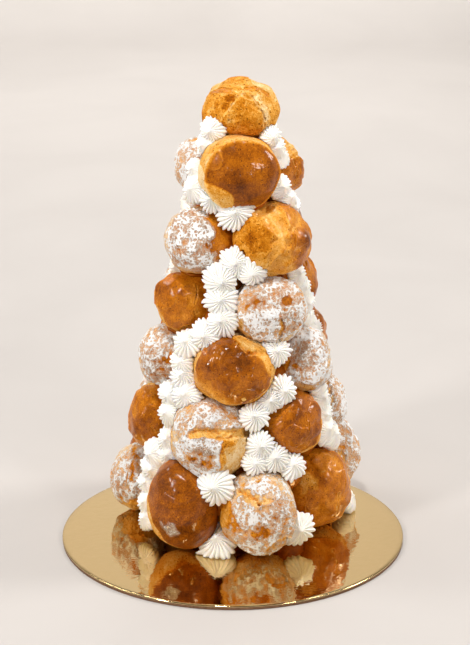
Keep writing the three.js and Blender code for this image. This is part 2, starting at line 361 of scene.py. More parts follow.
def lamp(name, place, size, watts, target=TOWER_MIDDLE):
    """A soft lamp that looks at its target."""
    light = bpy.data.lights.new(name, "AREA")
    light.shape = "RECTANGLE"
    light.size, light.size_y = size[0] * MM, size[1] * MM
    light.energy = watts
    light.color = DAYLIGHT
    holder = bpy.data.objects.new(name, light)
    holder.location = Vector(place) * MM
    aim = Vector(target) * MM - holder.location
    holder.rotation_euler = aim.to_track_quat("-Z", "Y").to_euler()
    bpy.context.scene.collection.objects.link(holder)
    return light


lamps = [
    lamp("lamp_front_left", (-1100, -1000, 950), (220, 220), 12.8),
    lamp("lamp_front_right", (900, -1200, 800), (220, 220), 6.2),
    lamp("lamp_top", (-130, -520, 1450), (130, 130), 10),
    lamp("lamp_back_left", (-900, 350, 1100), (320, 320), 4.6),
    lamp("lamp_back_right", (1000, 250, 950), (320, 320), 9),
    lamp("lamp_wall", (-100, 1400, 1550), (2200, 500), 37, target=(-100, 2400, 0)),
]
print(len(lamps), "lamps of", round(sum(light.energy for light in lamps), 1), "watts in all")

# %% The light of the room
ROOM_COLOUR = (1.0, 0.975, 0.95)
CAMERA_SIDE, OTHER_SIDES, CEILING = 0.26, 0.6, 0.1  # how bright the room is there
world = bpy.data.worlds.new("room")
bpy.context.scene.world = world
world.use_nodes = True
room = Nodes(world.node_tree)
way = room.node("ShaderNodeTexCoord")["Generated"]
walls = room.step(room.part(way, 1), -0.8, -0.2, CAMERA_SIDE, OTHER_SIDES)
background = room.tree.nodes["Background"].inputs
room.put(background["Color"], ROOM_COLOUR)
room.put(background["Strength"], room.step(room.part(way, 2), 0.3, 0.6, walls, CEILING))
bpy.context.scene.view_settings.view_transform = "Standard"
print("the room's light has", len(room.tree.nodes), "nodes")

# %% [markdown]
# ## The form of a bun
#
# Choux paste swells into a rough ball, and where two buns touch they flatten each other.
# The solids already have that form in flat facets. A Subdivision Surface modifier could
# round them, but it shrinks the form and leaves its points uneven. So each bun's skin is
# laid over its solid instead: many rays from the middle measure how far the facets are,
# and a soft average of those distances gives a smooth, round skin with the same flats
# and the same size.

# %% A net of points over a bun
FRONT_NET = ((240, 126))  # points in a ring, and rings over dome and sides
BACK_NET = (120, 62)  # the same for the buns at the back of the tower
BACK_RINGS = 10  # over the back, which the tower hides
DOME_REACH = 112  # degrees down from the top of the dome that the fine rings cover
FEELERS = 700


def sphere_net(around, fine_rings):
    """Unit vectors in rings round +Z with a pole at each end, the faces, and each ring's degrees down."""
    fine = np.linspace(0, DOME_REACH, fine_rings + 1)[1:]
    back = np.linspace(DOME_REACH, 180, BACK_RINGS + 2)[1:-1]
    down = np.radians(np.concatenate([fine, back]))
    ring = np.stack([np.cos(circle(around)), np.sin(circle(around))], 1)
    ways = [np.array([[0, 0, 1.0]])]
    ways += [np.column_stack([ring * math.sin(d), np.full(around, math.cos(d))]) for d in down]
    ways += [np.array([[0, 0, -1.0]])]
    faces = ring_faces(len(down), around)[:, ::-1]  # these rings run down, so they turn the other way
    return np.concatenate(ways), faces, np.degrees(down)


def spread_ways(count):
    """Unit vectors spread evenly over a ball, along a spiral."""
    index = np.arange(count) + 0.5
    z = 1 - 2 * index / count
    turn = index * math.pi * (1 + 5 ** 0.5)
    flat = np.sqrt(1 - z * z)
    return np.column_stack([flat * np.cos(turn), flat * np.sin(turn), z])


NETS = {"front": sphere_net(*FRONT_NET), "back": sphere_net(*BACK_NET)}
FEELER_WAYS = spread_ways(FEELERS)
print({place: len(net[1]) for place, net in NETS.items()}, "triangles on a bun")


# %% The smooth distance from a bun's middle to its skin
FEELER_SOFT = math.radians(7)
SKIN_OUT = 0.35  # millimetres that a round skin stands over flat facets


def facets_of(node):
    """The node's own facets as a tree that rays can be sent into, in millimetres."""
    copy = bmesh.new()
    copy.from_mesh(frame["nodes"][node].data)
    bmesh.ops.remove_doubles(copy, verts=copy.verts, dist=0.01 * MM)
    copy.transform(Matrix.Scale(1 / MM, 4))
    tree = BVHTree.FromBMesh(copy)
    copy.free()
    return tree


def skin_distance(node, middle, ways):
    tree = facets_of(node)
    felt = np.array([tree.ray_cast(Vector(middle), Vector(way))[3] for way in FEELER_WAYS], float)
    nearness = np.exp((ways.astype(np.float32) @ FEELER_WAYS.T.astype(np.float32) - 1) / FEELER_SOFT ** 2)
    return nearness @ felt / nearness.sum(1) + SKIN_OUT


def axes_towards(way):
    """Right, up and out for someone who looks straight at a face that looks along way."""
    right = np.array([-way[1], way[0], 0.0])
    right /= np.linalg.norm(right)
    return np.array([right, np.cross(way, right), way])


print("front axes", axes_towards(outwards(0, CAMERA_DOWN)).round(2).tolist())

# %% [markdown]
# ## Crust
#
# A bun's crust has a browned cap, which was the top of the piped ball, and a paler ring
# below it where the crust tore and stretched as the bun rose. Caps have dents and small
# blisters, and rings are dry and full of pores. All this could be sculpted by hand, bun
# by bun. Here each of these marks is a small function that changes a skin: how far it
# stands out, how dark it is baked, how much crumb or sugar or glaze shows. A few marks
# also paint highlights and shade into how dark it is. A bun is then a list of marks,
# which can be read and changed.

# %% A rough field that repeats exactly
def ripples(points, span, seed, waves=26):
    """Random smooth bumps about span millimetres apart. Mostly from -1 to 1."""
    chance = np.random.default_rng(seed)
    ways = chance.normal(size=(waves, 3))
    ways /= np.linalg.norm(ways, axis=1)[:, None]
    ways *= chance.uniform(0.6, 1.5, (waves, 1)) * 2 * math.pi / (2 * span)
    turns = points @ ways.T + chance.uniform(0, 2 * math.pi, waves)
    return np.cos(turns).sum(1) * math.sqrt(2 / waves) * 0.5


def fade(distance, start, end):
    """1 up to start, 0 from end on, and smooth between them."""
    t = np.clip((end - distance) / (end - start), 0, 1)
    return t * t * (3 - 2 * t)


print("ripples over a millimetre", ripples(np.eye(3), 1.0, 0).round(2))


# %% A skin
FIELDS = ("rise", "bake", "crumb", "sugar", "gloss", "porous")


class Skin:
    """The points of one bun's crust as someone sees them who looks at its face."""

    def __init__(self, ways, distance, face, seed):
        self.seed = seed
        self.face = ways @ axes_towards(face).T
        self.size = float(distance.mean())
        self.spot = ways * distance[:, None]
        self.used = 0
        for field in FIELDS:
            setattr(self, field, np.zeros(len(ways)))

    def bumps(self, span):
        """Ripples that no mark before had."""
        self.used += 1
        return ripples(self.spot, span, 1000 * self.seed + self.used)

    def way_at(self, x, y):
        reach = min(math.hypot(x, y), 0.999)
        scale = reach / max(math.hypot(x, y), 1e-9)
        return np.array([x * scale, y * scale, math.sqrt(1 - reach * reach)])

    def distance_to(self, x, y):
        """Millimetres along the crust from a point of the face, -1 to 1 across it."""
        near = np.clip(self.face @ self.way_at(x, y), -1, 1)
        return np.arccos(near) * self.size

    def uneven(self, x, y, across, wobble):
        """The distance from the middle of a patch, in uneven shares of its radius."""
        return self.distance_to(x, y) / (across / 2) + wobble * 2 * self.bumps(across / 3)

    def distance_along(self, path):
        """Millimetres to the nearest point of a line of points on the face."""
        ends = [self.way_at(x, y) for x, y in path]
        best = np.full(len(self.face), np.inf)
        for start, end in zip(ends, ends[1:]):
            line = end - start
            share = np.clip((self.face - start) @ line / (line @ line), 0, 1)
            gap = np.linalg.norm(self.face - start - share[:, None] * line, axis=1)
            best = np.minimum(best, gap * self.size)
        return best

    def change(self, share, **amounts):
        for field, amount in amounts.items():
            setattr(self, field, getattr(self, field) + share * amount)


def mark(change):
    """A mark is called with its settings, and gives back what changes a skin in that way."""
    return lambda *place, **settings: lambda skin: change(skin, *place, **settings)


print("a skin has", ", ".join(FIELDS))

# %% [markdown]
# ### Marks with a shape
#
# A patch on real crust never has a plain round edge, so each of these measures how far
# every point is from a place or a path, makes that distance uneven, and fades across it.

# %% Caps, patches and flaps
# The bead is a thin raised line just inside a cap's edge, painted paler as a highlight.
ROLL_WIDE = 5.0  # millimetres over which a cap swells towards its edge
HIGHLIGHT_BEAD_IN = 0.9  # how far inside the edge its thin bright bead lies
HIGHLIGHT_BEAD_WIDE = 0.8
GROOVE_WIDE = 1.6


@mark
def cap(skin, x, y, reach, lip=1.6, wobble=3.0, bake=0.5, gloss=0.9, edge=0.5, heart=0.16, beading=0.3):
    """The browned cap: reach is degrees from its middle, which is darkest, to its raised edge."""
    away = skin.distance_to(x, y)
    rim = away - math.radians(reach) * skin.size
    rim += wobble * skin.bumps(9) + 0.35 * wobble * skin.bumps(3.2)
    inside = fade(rim, -edge, edge)
    roll = np.where(rim < 0, np.exp(rim / ROLL_WIDE), 0)
    bead_and_highlight_line = np.exp(-((rim + HIGHLIGHT_BEAD_IN) / HIGHLIGHT_BEAD_WIDE) ** 2)
    groove = np.where(rim > 0, np.exp(-(rim / GROOVE_WIDE) ** 2), 0)
    skin.change(inside, bake=bake, gloss=gloss, porous=-0.85)
    skin.change(inside * fade(away, 0, skin.size), bake=heart)
    skin.change(inside * roll, rise=lip)
    # The bead stands up a little and is painted paler, as a highlight along the rim.
    skin.change(bead_and_highlight_line, rise=beading, bake=-0.4 * beading)
    skin.change(groove, rise=-0.5 * lip, bake=0.05)


@mark
def spot(skin, x, y, across, edge=0.35, wobble=0.12, **amounts):
    """A patch that changes the crust. edge is the share of its radius that fades."""
    away = skin.uneven(x, y, across, wobble)
    skin.change(fade(away, 1 - edge, 1 + edge), **amounts)


@mark
def flap(skin, x, y, across, rise=1.0, edge=0.08, wobble=0.14, rim=0.15, **amounts):
    """A raised piece of crust with a crisp edge, painted paler than the rest as a highlight."""
    away = skin.uneven(x, y, across, wobble)
    inside = fade(away, 1 - edge, 1 + edge)
    edge_with_highlight = np.exp(-((away - 1) / (1.2 / across)) ** 2)
    skin.change(inside * (0.65 + 0.35 * np.clip(away, 0, 1)), rise=rise)
    skin.change(inside, **amounts)
    # rim says how much paler the edge is painted, as a highlight.
    skin.change(edge_with_highlight, bake=-rim)


@mark
def knob(skin, x, y, across, rise, **amounts):
    """A round bulge, as where paste pushed out of a crack."""
    away = skin.distance_to(x, y) / (across / 2)
    skin.change(np.exp(-away ** 2 * 1.6), rise=rise, **amounts)


print("marks: cap, spot, flap, knob")


# %% Cracks, strips and sugar
@mark
def tear(skin, path, wide=3.0, deep=1.6, crumb=1.0, ragged=0.5, lips=0.35):
    """A crack where the crust came apart and the crumb shows."""
    gap = skin.distance_along(path)
    gap += ragged * wide * skin.bumps(3.0) + 0.5 * ragged * wide * skin.bumps(1.3)
    inside = fade(gap, 0.25 * wide, 0.6 * wide)
    edge_with_highlight = np.exp(-((gap - 0.85 * wide) / (0.35 * wide)) ** 2)
    skin.sugar *= 1 - 0.9 * inside
    skin.change(inside, rise=-deep, crumb=crumb, bake=-0.1, gloss=-0.3)
    # Raised lips, also painted a little paler as a highlight.
    skin.change(edge_with_highlight, rise=lips * deep, bake=-0.08)


@mark
def band(skin, path, wide, edge=0.3, ragged=0.12, rise=0.0, **levels):
    """A strip with a look of its own, such as paste that stretched between two lobes."""
    gap = skin.distance_along(path) / (wide / 2) + ragged * 2 * skin.bumps(wide / 2)
    inside = fade(gap, 1 - edge, 1 + edge)
    skin.change(inside, rise=rise)
    for field, level in levels.items():
        setattr(skin, field, getattr(skin, field) * (1 - inside) + level * inside)


@mark
def dusting(skin, amount, x=0.0, y=0.0, across=90, patch=9.0):
    """Icing sugar, thick in patches and thin between them."""
    near = fade(skin.distance_to(x, y), 0.36 * across, 0.6 * across)
    cover = amount + 0.45 * skin.bumps(patch) + 0.3 * skin.bumps(patch / 2.5)
    skin.sugar = np.maximum(skin.sugar, near * np.clip(cover, 0, 1.1))


print("marks: tear, band, dusting")

# %% [markdown]
# ### Marks all over
#
# No baked thing is smooth between its marks. These cover the whole bun with swellings,
# creased lumps and flakes at several sizes, and say how porous its bare crust is.

# %% Marks all over
@mark
def pores(skin, amount=1.0):
    """How full of small holes the crust is, apart from the glazed parts."""
    skin.change(1.0, porous=amount)


@mark
def dents(skin, deep=0.5, span=8.0):
    """Swellings, and the finer ones that break up a highlight."""
    skin.change(skin.bumps(span), rise=deep, bake=0.07)
    skin.change(skin.bumps(span / 2.6), rise=0.35 * deep, bake=0.03)


@mark
def lumps(skin, deep=0.8, span=12.0):
    """Rounded lumps about span across, with a crease between each and the next."""
    skin.change(2 * np.abs(skin.bumps(span)) - 0.8, rise=deep, bake=0.04)


@mark
def scales(skin, rise=0.7, span=11.0, edge=0.06, bake=0.08):
    """Torn flakes of crust that overlap: raised patches with crisp edges painted pale as highlights."""
    field = skin.bumps(span) + 0.25 * skin.bumps(span / 3)
    skin.change(fade(-field, -edge, edge), rise=rise, bake=bake)
    # A thin line painted paler along each flake's edge, as a highlight.
    skin.change(np.exp(-(field / 0.09) ** 2), bake=-0.08)


print("marks: pores, dents, lumps, scales")

# %% [markdown]
# ## The finish of the crust
#
# One material covers every kind of crust. A painted picture could be wrapped round each
# bun, but it would blur close up and need a map of every form. Instead the marks leave
# five numbers at each point: how dark it is baked, with a few painted highlights and
# painted shade among it, how much torn crumb shows, how much sugar lies there, how glossy
# the glaze is and how porous the crust. The material turns them into colour, gloss and
# fine relief, and breaks each of them up with noises of its own, because a real crust is
# never even. Glaze is a clear coat: it reflects the lamps as small broken glints, while
# the crust below it reflects only its own warm colour.

# %% Crust material
BAKED = [
    (0.00, paint(246, 216, 166)),
    (0.16, paint(238, 192, 120)),
    (0.32, paint(230, 165, 70)),
    (0.48, paint(209, 131, 29)),
    (0.64, paint(179, 100, 8)),
    (0.82, paint(136, 68, 3)),
    (1.00, paint(84, 37, 3)),
]
CRUMB = [(0.3, paint(222, 140, 42)), (0.5, paint(242, 182, 84)), (0.72, paint(254, 224, 152))]
SUGAR_THICK = paint(240, 238, 236)
SUGAR_THIN = paint(226, 208, 184)
WARM_SHEEN = (1.0, 0.55, 0.2)
SPECK_CELL = 2.1  # millimetres from one dark or pale speck to the next
SUGAR_CELL = 3.1  # the same for the net of cracks through thick sugar
SUGAR_WARP = 2.2  # how far that net is pulled out of shape


def sugar_cover(shader, sugar, blotch, mottle, grain):
    """Shares of thin and thick sugar: a veil, and crusts of it that crack into cells."""
    moved = shader.node("ShaderNodeVectorMath", {
        0: shader.noise(2.5, out="Color"), 1: (SUGAR_WARP * MM,) * 3, 2: shader.place},
        operation="MULTIPLY_ADD")[0]
    net = shader.cells(SUGAR_CELL, moved, feature="DISTANCE_TO_EDGE")["Distance"]
    cover = shader.shift(sugar, (blotch, 1.0), (mottle, 1.7), (grain, 1.5))
    cover = shader.sum(cover, (-0.5, shader.step(net, 0.0, 0.3)), (0.03, 1.0))
    some = shader.step(sugar, 0.04, 0.34)
    dust = shader.times(shader.step(shader.noise(0.8, detail=1), 0.56, 0.68), 0.5)
    thin = shader.times(shader.blend(shader.step(cover, -0.2, 0.7), 0.2, 0.62), some)
    thick = shader.times(shader.math("MAXIMUM", shader.step(cover, 0.56, 0.84), dust), some)
    return thin, thick


def crust_material(name, even_gloss):
    shader = Shader(name)
    blotch = shader.noise(11, detail=2, rough=0.55)
    mottle = shader.noise(2.4, detail=3, rough=0.6)
    grain = shader.noise(1.1, detail=2, rough=0.65)
    pits = shader.noise(1.5, detail=3, rough=0.7)
    sugar = shader.attribute("sugar")
    gloss = shader.math("MAXIMUM", shader.attribute("gloss"), 0.0)
    porous = shader.math("MAXIMUM", shader.attribute("porous"), 0.0)

    # Pores, and specks in some of the cells: dark ones by one random number, pale ones by another.
    holes = shader.times(shader.step(pits, 0.59, 0.68), porous, clamp=True)
    dots = shader.cells(SPECK_CELL)
    near = shader.math("SUBTRACT", 1.0, shader.step(dots["Distance"], 0.14, 0.26))
    specks = shader.times(near, shader.step(shader.part(dots["Color"], 0), 0.4, 0.7))
    pale = shader.times(near, shader.step(shader.part(dots["Color"], 1), 0.7, 0.9))

    # How dark the crust is baked, with some painted highlights and shade, less even where it is bare.
    bake = shader.shift(
        shader.attribute("bake"), (blotch, shader.blend(gloss, 0.5, 0.38)),
        (mottle, shader.blend(gloss, 0.45, 0.2)), (grain, shader.blend(gloss, 0.6, 0.5)))
    bake = shader.sum(
        bake, (0.3, holes), (shader.blend(gloss, 0.5, 0.34), specks), (-0.2, pale), (0.1, sugar))
    crumb = shader.step(shader.shift(shader.attribute("crumb"), (mottle, 0.5)), 0.25, 0.7)
    torn = shader.ramp(shader.shift(pits, (grain, 0.5)), CRUMB)
    thin, thick = sugar_cover(shader, sugar, blotch, mottle, grain)
    colour = shader.mix(crumb, shader.ramp(bake, BAKED), torn)
    colour = shader.mix(thick, shader.mix(thin, colour, SUGAR_THIN), SUGAR_THICK)

    # Glaze lies where no sugar does.
    wet = shader.times(gloss, shader.math("SUBTRACT", 1.0, thin, clamp=True), clamp=True)
    glaze = shader.noise(3.2, detail=2, rough=0.5, wander=0.8)
    rough = shader.blend(wet, 0.7, shader.blend(glaze, even_gloss, even_gloss + 0.2))
    rough = shader.blend(thick, rough, 0.95)

    # Relief: glaze fills the crust's own roughness, and has slow waves and fine ripples of its own.
    glazed = shader.step(wet, 0.05, 0.6)
    relief = shader.sum(
        shader.times(mottle, shader.blend(glazed, 1.0, 0.1)), (shader.blend(glazed, 0.7, 0.05), grain),
        (-0.6, holes), (shader.blend(glazed, -0.5, -0.1), specks), (0.5, thick),
        (shader.times(wet, 0.15), glaze))
    shader.bump(relief, 0.8, "Normal")
    shader.bump(shader.sum(relief, (0.12, shader.noise(1.5, detail=1))), 0.8, "Coat Normal")

    shader.set(Base_Color=colour, Roughness=rough, Coat_Weight=shader.times(wet, 0.62))
    shader.set(Coat_Roughness=0.05, Coat_IOR=1.42, Specular_IOR_Level=0.2, Specular_Tint=WARM_SHEEN)
    return shader.material


CRUST = {
    "brown": crust_material("crust_brown", 0.34),
    "golden": crust_material("crust_golden", 0.40),
    "sugared": crust_material("crust_sugared", 0.40),
}
print("crusts:", ", ".join(CRUST))

# %% [markdown]
# ## The marks of each bun
#
# No two buns are alike, so the ones at the front each have a list of their own. A mark's
# first two numbers place it on the bun's face, from -1 at the left or the bottom to 1
# at the right or the top. Sizes are in millimetres. The buns at the back get their
# marks from a rule that draws them at random, always the same way.

# %% What all buns of a kind share
FRONT = outwards(0, CAMERA_DOWN)
BROWN_BASE = [pores(0.9), dents(1.0, 14), lumps(0.6, 14), lumps(0.18, 5)]
GOLDEN_BASE = [pores(1.0), dents(0.7, 12), lumps(0.4, 13), lumps(0.15, 4.5), scales(0.5, 13)]
MARKS = {}
print("brown buns start with", len(BROWN_BASE), "marks and golden ones with", len(GOLDEN_BASE))

# %% Marks of the three top rows
MARKS["bun_1_1"] = [
    *GOLDEN_BASE,
    tear([(-0.3, -0.35), (-0.28, -0.02), (-0.16, 0.2), (0.06, 0.32), (0.27, 0.25), (0.4, 0.02),
          (0.54, -0.26), (0.66, -0.56)], wide=1.0, deep=1.2, crumb=0.4, lips=0.7),
    flap(-0.62, -0.1, 36, rise=0.9, bake=0.08),
    flap(-0.1, 0.82, 30, rise=0.9, bake=0.12),
    flap(0.82, 0.1, 26, rise=0.5, bake=0.04),
    flap(0.1, -0.35, 27, rise=1.8, bake=0.14, porous=-0.2),
    band([(0.42, 0.22), (0.6, -0.05), (0.62, -0.3)], 5, rise=-0.4, bake=0.08),
    band([(-0.88, 0.42), (-0.6, 0.46), (-0.36, 0.4)], 4.5, rise=-1.3, bake=0.5, gloss=0.9, porous=0),
    band([(0.15, 0.5), (0.45, 0.56), (0.72, 0.38)], 4.5, rise=-1.0, bake=0.46, gloss=0.8, porous=0),
    tear([(-0.2, 0.66), (0.2, 0.62), (0.4, 0.46)], wide=1.8, deep=1.2, crumb=0.6),
    spot(-0.3, 0.2, 6, rise=-1.4, bake=0.3),
    spot(-0.4, -0.02, 5, rise=-0.8, bake=0.3),
    spot(0.1, 0.0, 60, edge=0.4, bake=0.04),
]
MARKS["bun_2_1"] = [
    pores(0.9), dents(0.6, 14), lumps(0.3, 20),
    cap(0.2, -0.28, 65, lip=2.2, wobble=0.8, bake=0.46, gloss=0.75, heart=0.1, beading=0.75),
    flap(-0.92, -0.62, 34, rise=0.6, wobble=0.12, bake=-0.44, gloss=-0.9, porous=0.8),
    flap(-0.66, 0.24, 13, rise=0.8, bake=-0.08, rim=0.2),
    tear([(-0.62, 0.6), (-0.38, 0.7), (-0.12, 0.78)], wide=2.2, deep=1.2, crumb=0.8),
    tear([(-0.9, 0.28), (-0.82, 0.42)], wide=1.6, deep=0.9, crumb=0.6),
]
MARKS["bun_2_2"] = [
    *GOLDEN_BASE,
    flap(0.35, 0.8, 28, rise=1.0, bake=0.04),
    tear([(0.2, 0.2), (0.42, 0.32), (0.56, 0.5), (0.7, 0.46)], wide=3, deep=1.8, crumb=0.5),
    cap(0.72, -0.35, 40, lip=1.8, bake=0.3, gloss=0.8),
    tear([(0.66, 0.12), (0.76, -0.2), (0.74, -0.5)], wide=1.4, deep=0.8, crumb=0.4),
]
MARKS["bun_2_3"] = [
    *BROWN_BASE,
    cap(-0.3, 0, 60, lip=1.2, bake=0.24, gloss=0.3),
    dusting(0.85, -0.2, 0.1, 120, patch=6),
    tear([(-0.5, 0.75), (0.1, 0.7)], wide=2.4, deep=1.0),
    spot(-0.35, -0.7, 10, sugar=-0.5, bake=0.1),
]
MARKS["bun_3_1"] = [
    *BROWN_BASE,
    cap(0.1, -0.05, 72, lip=0.8, bake=0.36, gloss=0.9),
    dusting(0.84, -0.42, 0.06, 64, patch=4),
    band([(0.1, 0.24), (0.3, 0.16), (0.46, 0.2)], 5, edge=0.6, ragged=0.3, sugar=1.0),
    spot(0.92, 0.1, 34, edge=0.25, sugar=-1.4),
    tear([(-0.62, -0.2), (-0.5, -0.42), (-0.44, -0.56)], wide=1.1, deep=1.2, crumb=0.2),
    tear([(-0.35, 0.93), (0.3, 0.9)], wide=2.6, deep=1.2),
]
MARKS["bun_3_2"] = [
    *GOLDEN_BASE,
    spot(0.85, 0.45, 22, edge=0.8, rise=-2.6),
    spot(1.0, 0.3, 58, edge=0.2, bake=0.3, gloss=0.7, porous=-0.9),
    spot(0.55, -0.62, 30, edge=0.5, bake=0.16, gloss=0.4, porous=-0.6),
    flap(-0.56, -0.05, 41, rise=2.0, bake=0.2, wobble=0.12, rim=0.08),
    band([(-0.35, 0.88), (-0.02, 0.56), (0.22, 0.12), (0.1, -0.3), (0.1, -0.78)], 11,
         edge=0.5, ragged=0.3, rise=-2.4, bake=0.38, gloss=0.9, porous=0, crumb=0),
    band([(-0.2, 0.66), (0.08, 0.4), (0.2, 0.12)], 5, edge=0.8, ragged=0.4, rise=0.5, bake=0.28),
    band([(0.2, 0.8), (0.42, 0.4), (0.42, 0.05)], 2.4, edge=0.8, ragged=0.3, rise=1.0, bake=0.36),
    spot(-0.34, 0.0, 18, edge=0.25, rise=-0.4, bake=0.14, porous=-0.4),
    spot(-0.72, -0.32, 3.5, edge=0.2, rise=-1.0, bake=0.5),
    knob(0.92, 0.02, 19, rise=4.6, bake=0.3, gloss=0.5),
    tear([(0.62, 0.3), (0.6, 0.02), (0.62, -0.3)], wide=1.4, deep=1.0, crumb=0.1),
]
print(len(MARKS), "buns so far")

# %% Marks of the fourth and fifth rows
MARKS["bun_4_1"] = [
    *BROWN_BASE,
    cap(0.0, 0.1, 64, lip=1.2, edge=2.2, bake=0.34, heart=0.1),
    flap(-0.72, 0.35, 26, rise=0.9, bake=0.02, gloss=-0.3, rim=0.08),
    spot(0.15, 0.2, 18, edge=0.6, bake=-0.08),
    flap(0.82, -0.5, 15, rise=0.8, bake=-0.1),
    tear([(0.45, 0.5), (0.5, 0.2), (0.46, -0.1)], wide=1.2, deep=0.9, crumb=0.3),
    tear([(0.28, -0.36), (0.34, -0.56)], wide=0.9, deep=0.6, crumb=0.2),
    tear([(0.4, -0.3), (0.46, -0.48)], wide=0.9, deep=0.6, crumb=0.2),
    tear([(0.5, -0.24), (0.56, -0.4)], wide=0.9, deep=0.6, crumb=0.2),
    tear([(-0.75, -0.5), (-0.5, -0.74)], wide=1.3, deep=0.8, crumb=0.7),
    spot(0.02, 0.62, 8, edge=0.6, rise=0.5),
]
MARKS["bun_4_2"] = [
    *GOLDEN_BASE,
    cap(0.12, 0.1, 64, lip=1.8, bake=0.26, gloss=0.3),
    dusting(0.8, 0.12, 0.1, 92, patch=5),
    spot(-0.2, -0.3, 19, edge=0.3, sugar=0.4, rise=0.9),
    spot(0.5, 0.3, 8, edge=0.15, sugar=-1.3, rise=0.5, bake=0.14, gloss=0.3),
    spot(-0.28, 0.16, 8, edge=0.3, sugar=-0.55, bake=0.1),
    spot(-0.56, 0.28, 10, edge=0.5, sugar=-0.4, bake=0.1),
    spot(0.62, -0.42, 20, edge=0.5, sugar=-0.25, bake=0.1),
    band([(-1, 0.35), (-0.95, 0.0), (-0.84, -0.35), (-0.6, -0.75)], 9, edge=0.2,
         sugar=0, bake=0.2, gloss=0, porous=0.7),
    knob(-0.86, -0.24, 8, rise=2.8),
    tear([(0.34, -0.3), (0.36, -0.6), (0.22, -0.9)], wide=3, deep=2.4, crumb=0.7),
]
MARKS["bun_4_3"] = [
    *BROWN_BASE,
    cap(0.6, 0, 70, lip=1.2, bake=0.36, heart=0.08),
    tear([(0.5, 0.6), (0.6, 0.1), (0.55, -0.4)], wide=1.4, deep=0.8, crumb=0.4),
]
MARKS["bun_5_1"] = [
    *BROWN_BASE,
    cap(0.0, 0.02, 68, lip=1.4, edge=2.0, bake=0.42, wobble=1.8, heart=0.03),
    knob(-0.38, 0.5, 22, rise=2.4),
    knob(0.45, -0.12, 30, rise=2.6, bake=0.05),
    # Two hollows, also painted a little darker as shade.
    spot(-0.28, -0.06, 14, edge=0.7, rise=-1.5, bake=0.07),
    spot(0.18, 0.2, 12, edge=0.7, rise=-1.6, bake=0.07),
    flap(0.42, 0.84, 26, rise=1.6, bake=-0.42, gloss=-0.8, wobble=0.05),
    tear([(0.05, 0.72), (0.28, 0.56), (0.42, 0.42), (0.58, 0.44)], wide=2.2, deep=2.4, crumb=0.7),
    band([(0.62, 0.5), (0.8, 0.26), (0.9, 0.0)], 8, bake=0.32, gloss=0.4),
    band([(-0.95, -0.25), (-0.7, -0.6), (-0.3, -0.88)], 12, edge=0.6, bake=0.42, gloss=0.6),
    spot(0.25, -0.8, 3.5, edge=0.15, crumb=0.9, gloss=-0.8),
    tear([(0.42, -0.8), (0.58, -0.66), (0.72, -0.48)], wide=1.0, deep=0.7),
    tear([(-0.36, -0.6), (-0.3, -0.8)], wide=1.0, deep=0.7, crumb=0.3),
]
MARKS["bun_5_2"] = [
    *BROWN_BASE,
    cap(-0.05, 0.05, 58, lip=1.3, bake=0.24, gloss=0.3),
    dusting(0.9, 0.02, 0.1, 84, patch=5),
    spot(-0.1, -0.05, 25, edge=0.2, sugar=-0.38, bake=0.14),
    band([(-0.3, 0.72), (0.2, 0.72), (0.46, 0.3), (0.46, -0.4), (0.15, -0.85)], 7, edge=0.6,
         ragged=0.3, sugar=1.1, rise=0.5),
    spot(-0.9, -0.1, 22, edge=0.25, sugar=-1.2),
    spot(-0.1, -1.0, 22, edge=0.25, sugar=-0.9),
]
MARKS["bun_5_3"] = [*BROWN_BASE, cap(0.5, 0, 70, lip=1.2, bake=0.38)]
MARKS["bun_5_6"] = [
    *BROWN_BASE,
    cap(-0.1, 0, 64, lip=1.2, bake=0.24, gloss=0.3),
    dusting(0.82, 0, 0.1, 110, patch=4),
    spot(-0.35, -0.45, 26, edge=0.4, sugar=-0.2, bake=0.12),
    spot(0.15, -0.12, 9, edge=0.2, wobble=0.3, sugar=-0.9),
    tear([(0.35, 0.55), (0.6, 0.3)], wide=1.6, deep=0.8),
]
print(len(MARKS), "buns so far")

# %% Marks of the two bottom rows
MARKS["bun_6_1"] = [
    *GOLDEN_BASE,
    flap(-0.05, 0.72, 60, rise=1.5, bake=0.2, wobble=0.04),
    flap(-0.32, -0.5, 38, rise=1.6, bake=0.2, wobble=0.05),
    dusting(0.74, -0.1, 0.72, 70, patch=5),
    dusting(0.78, -0.42, -0.42, 50, patch=5),
    band([(-0.75, -0.1), (-0.4, -0.14), (0.0, -0.2), (0.16, -0.4)], 9, edge=0.5, ragged=0.3, sugar=1.1),
    spot(-0.22, -0.5, 17, edge=0.25, sugar=-0.5, bake=0.16, rise=0.6),
    spot(-0.2, -0.9, 12, edge=0.5, sugar=0.5),
    spot(0.8, -0.42, 39, edge=0.1, sugar=-2.0, bake=-0.12),
    band([(-0.5, 0.14), (-0.2, 0.18), (0.2, 0.12), (0.55, 0.14), (0.95, 0.16)], 7, edge=0.15,
         rise=-2.8, sugar=0, bake=0.2, crumb=0.6),
    tear([(-0.5, 0.22), (-0.1, 0.26), (0.3, 0.2), (0.7, 0.22)], wide=1.8, deep=2.2, crumb=0.4),
    tear([(0.1, 0.08), (0.3, 0.0), (0.62, 0.06), (0.9, 0.02)], wide=1.6, deep=1.6, crumb=0.8),
    tear([(0.33, -0.35), (0.36, -0.7), (0.32, -0.98)], wide=1.4, deep=1.2, crumb=0.8),
]
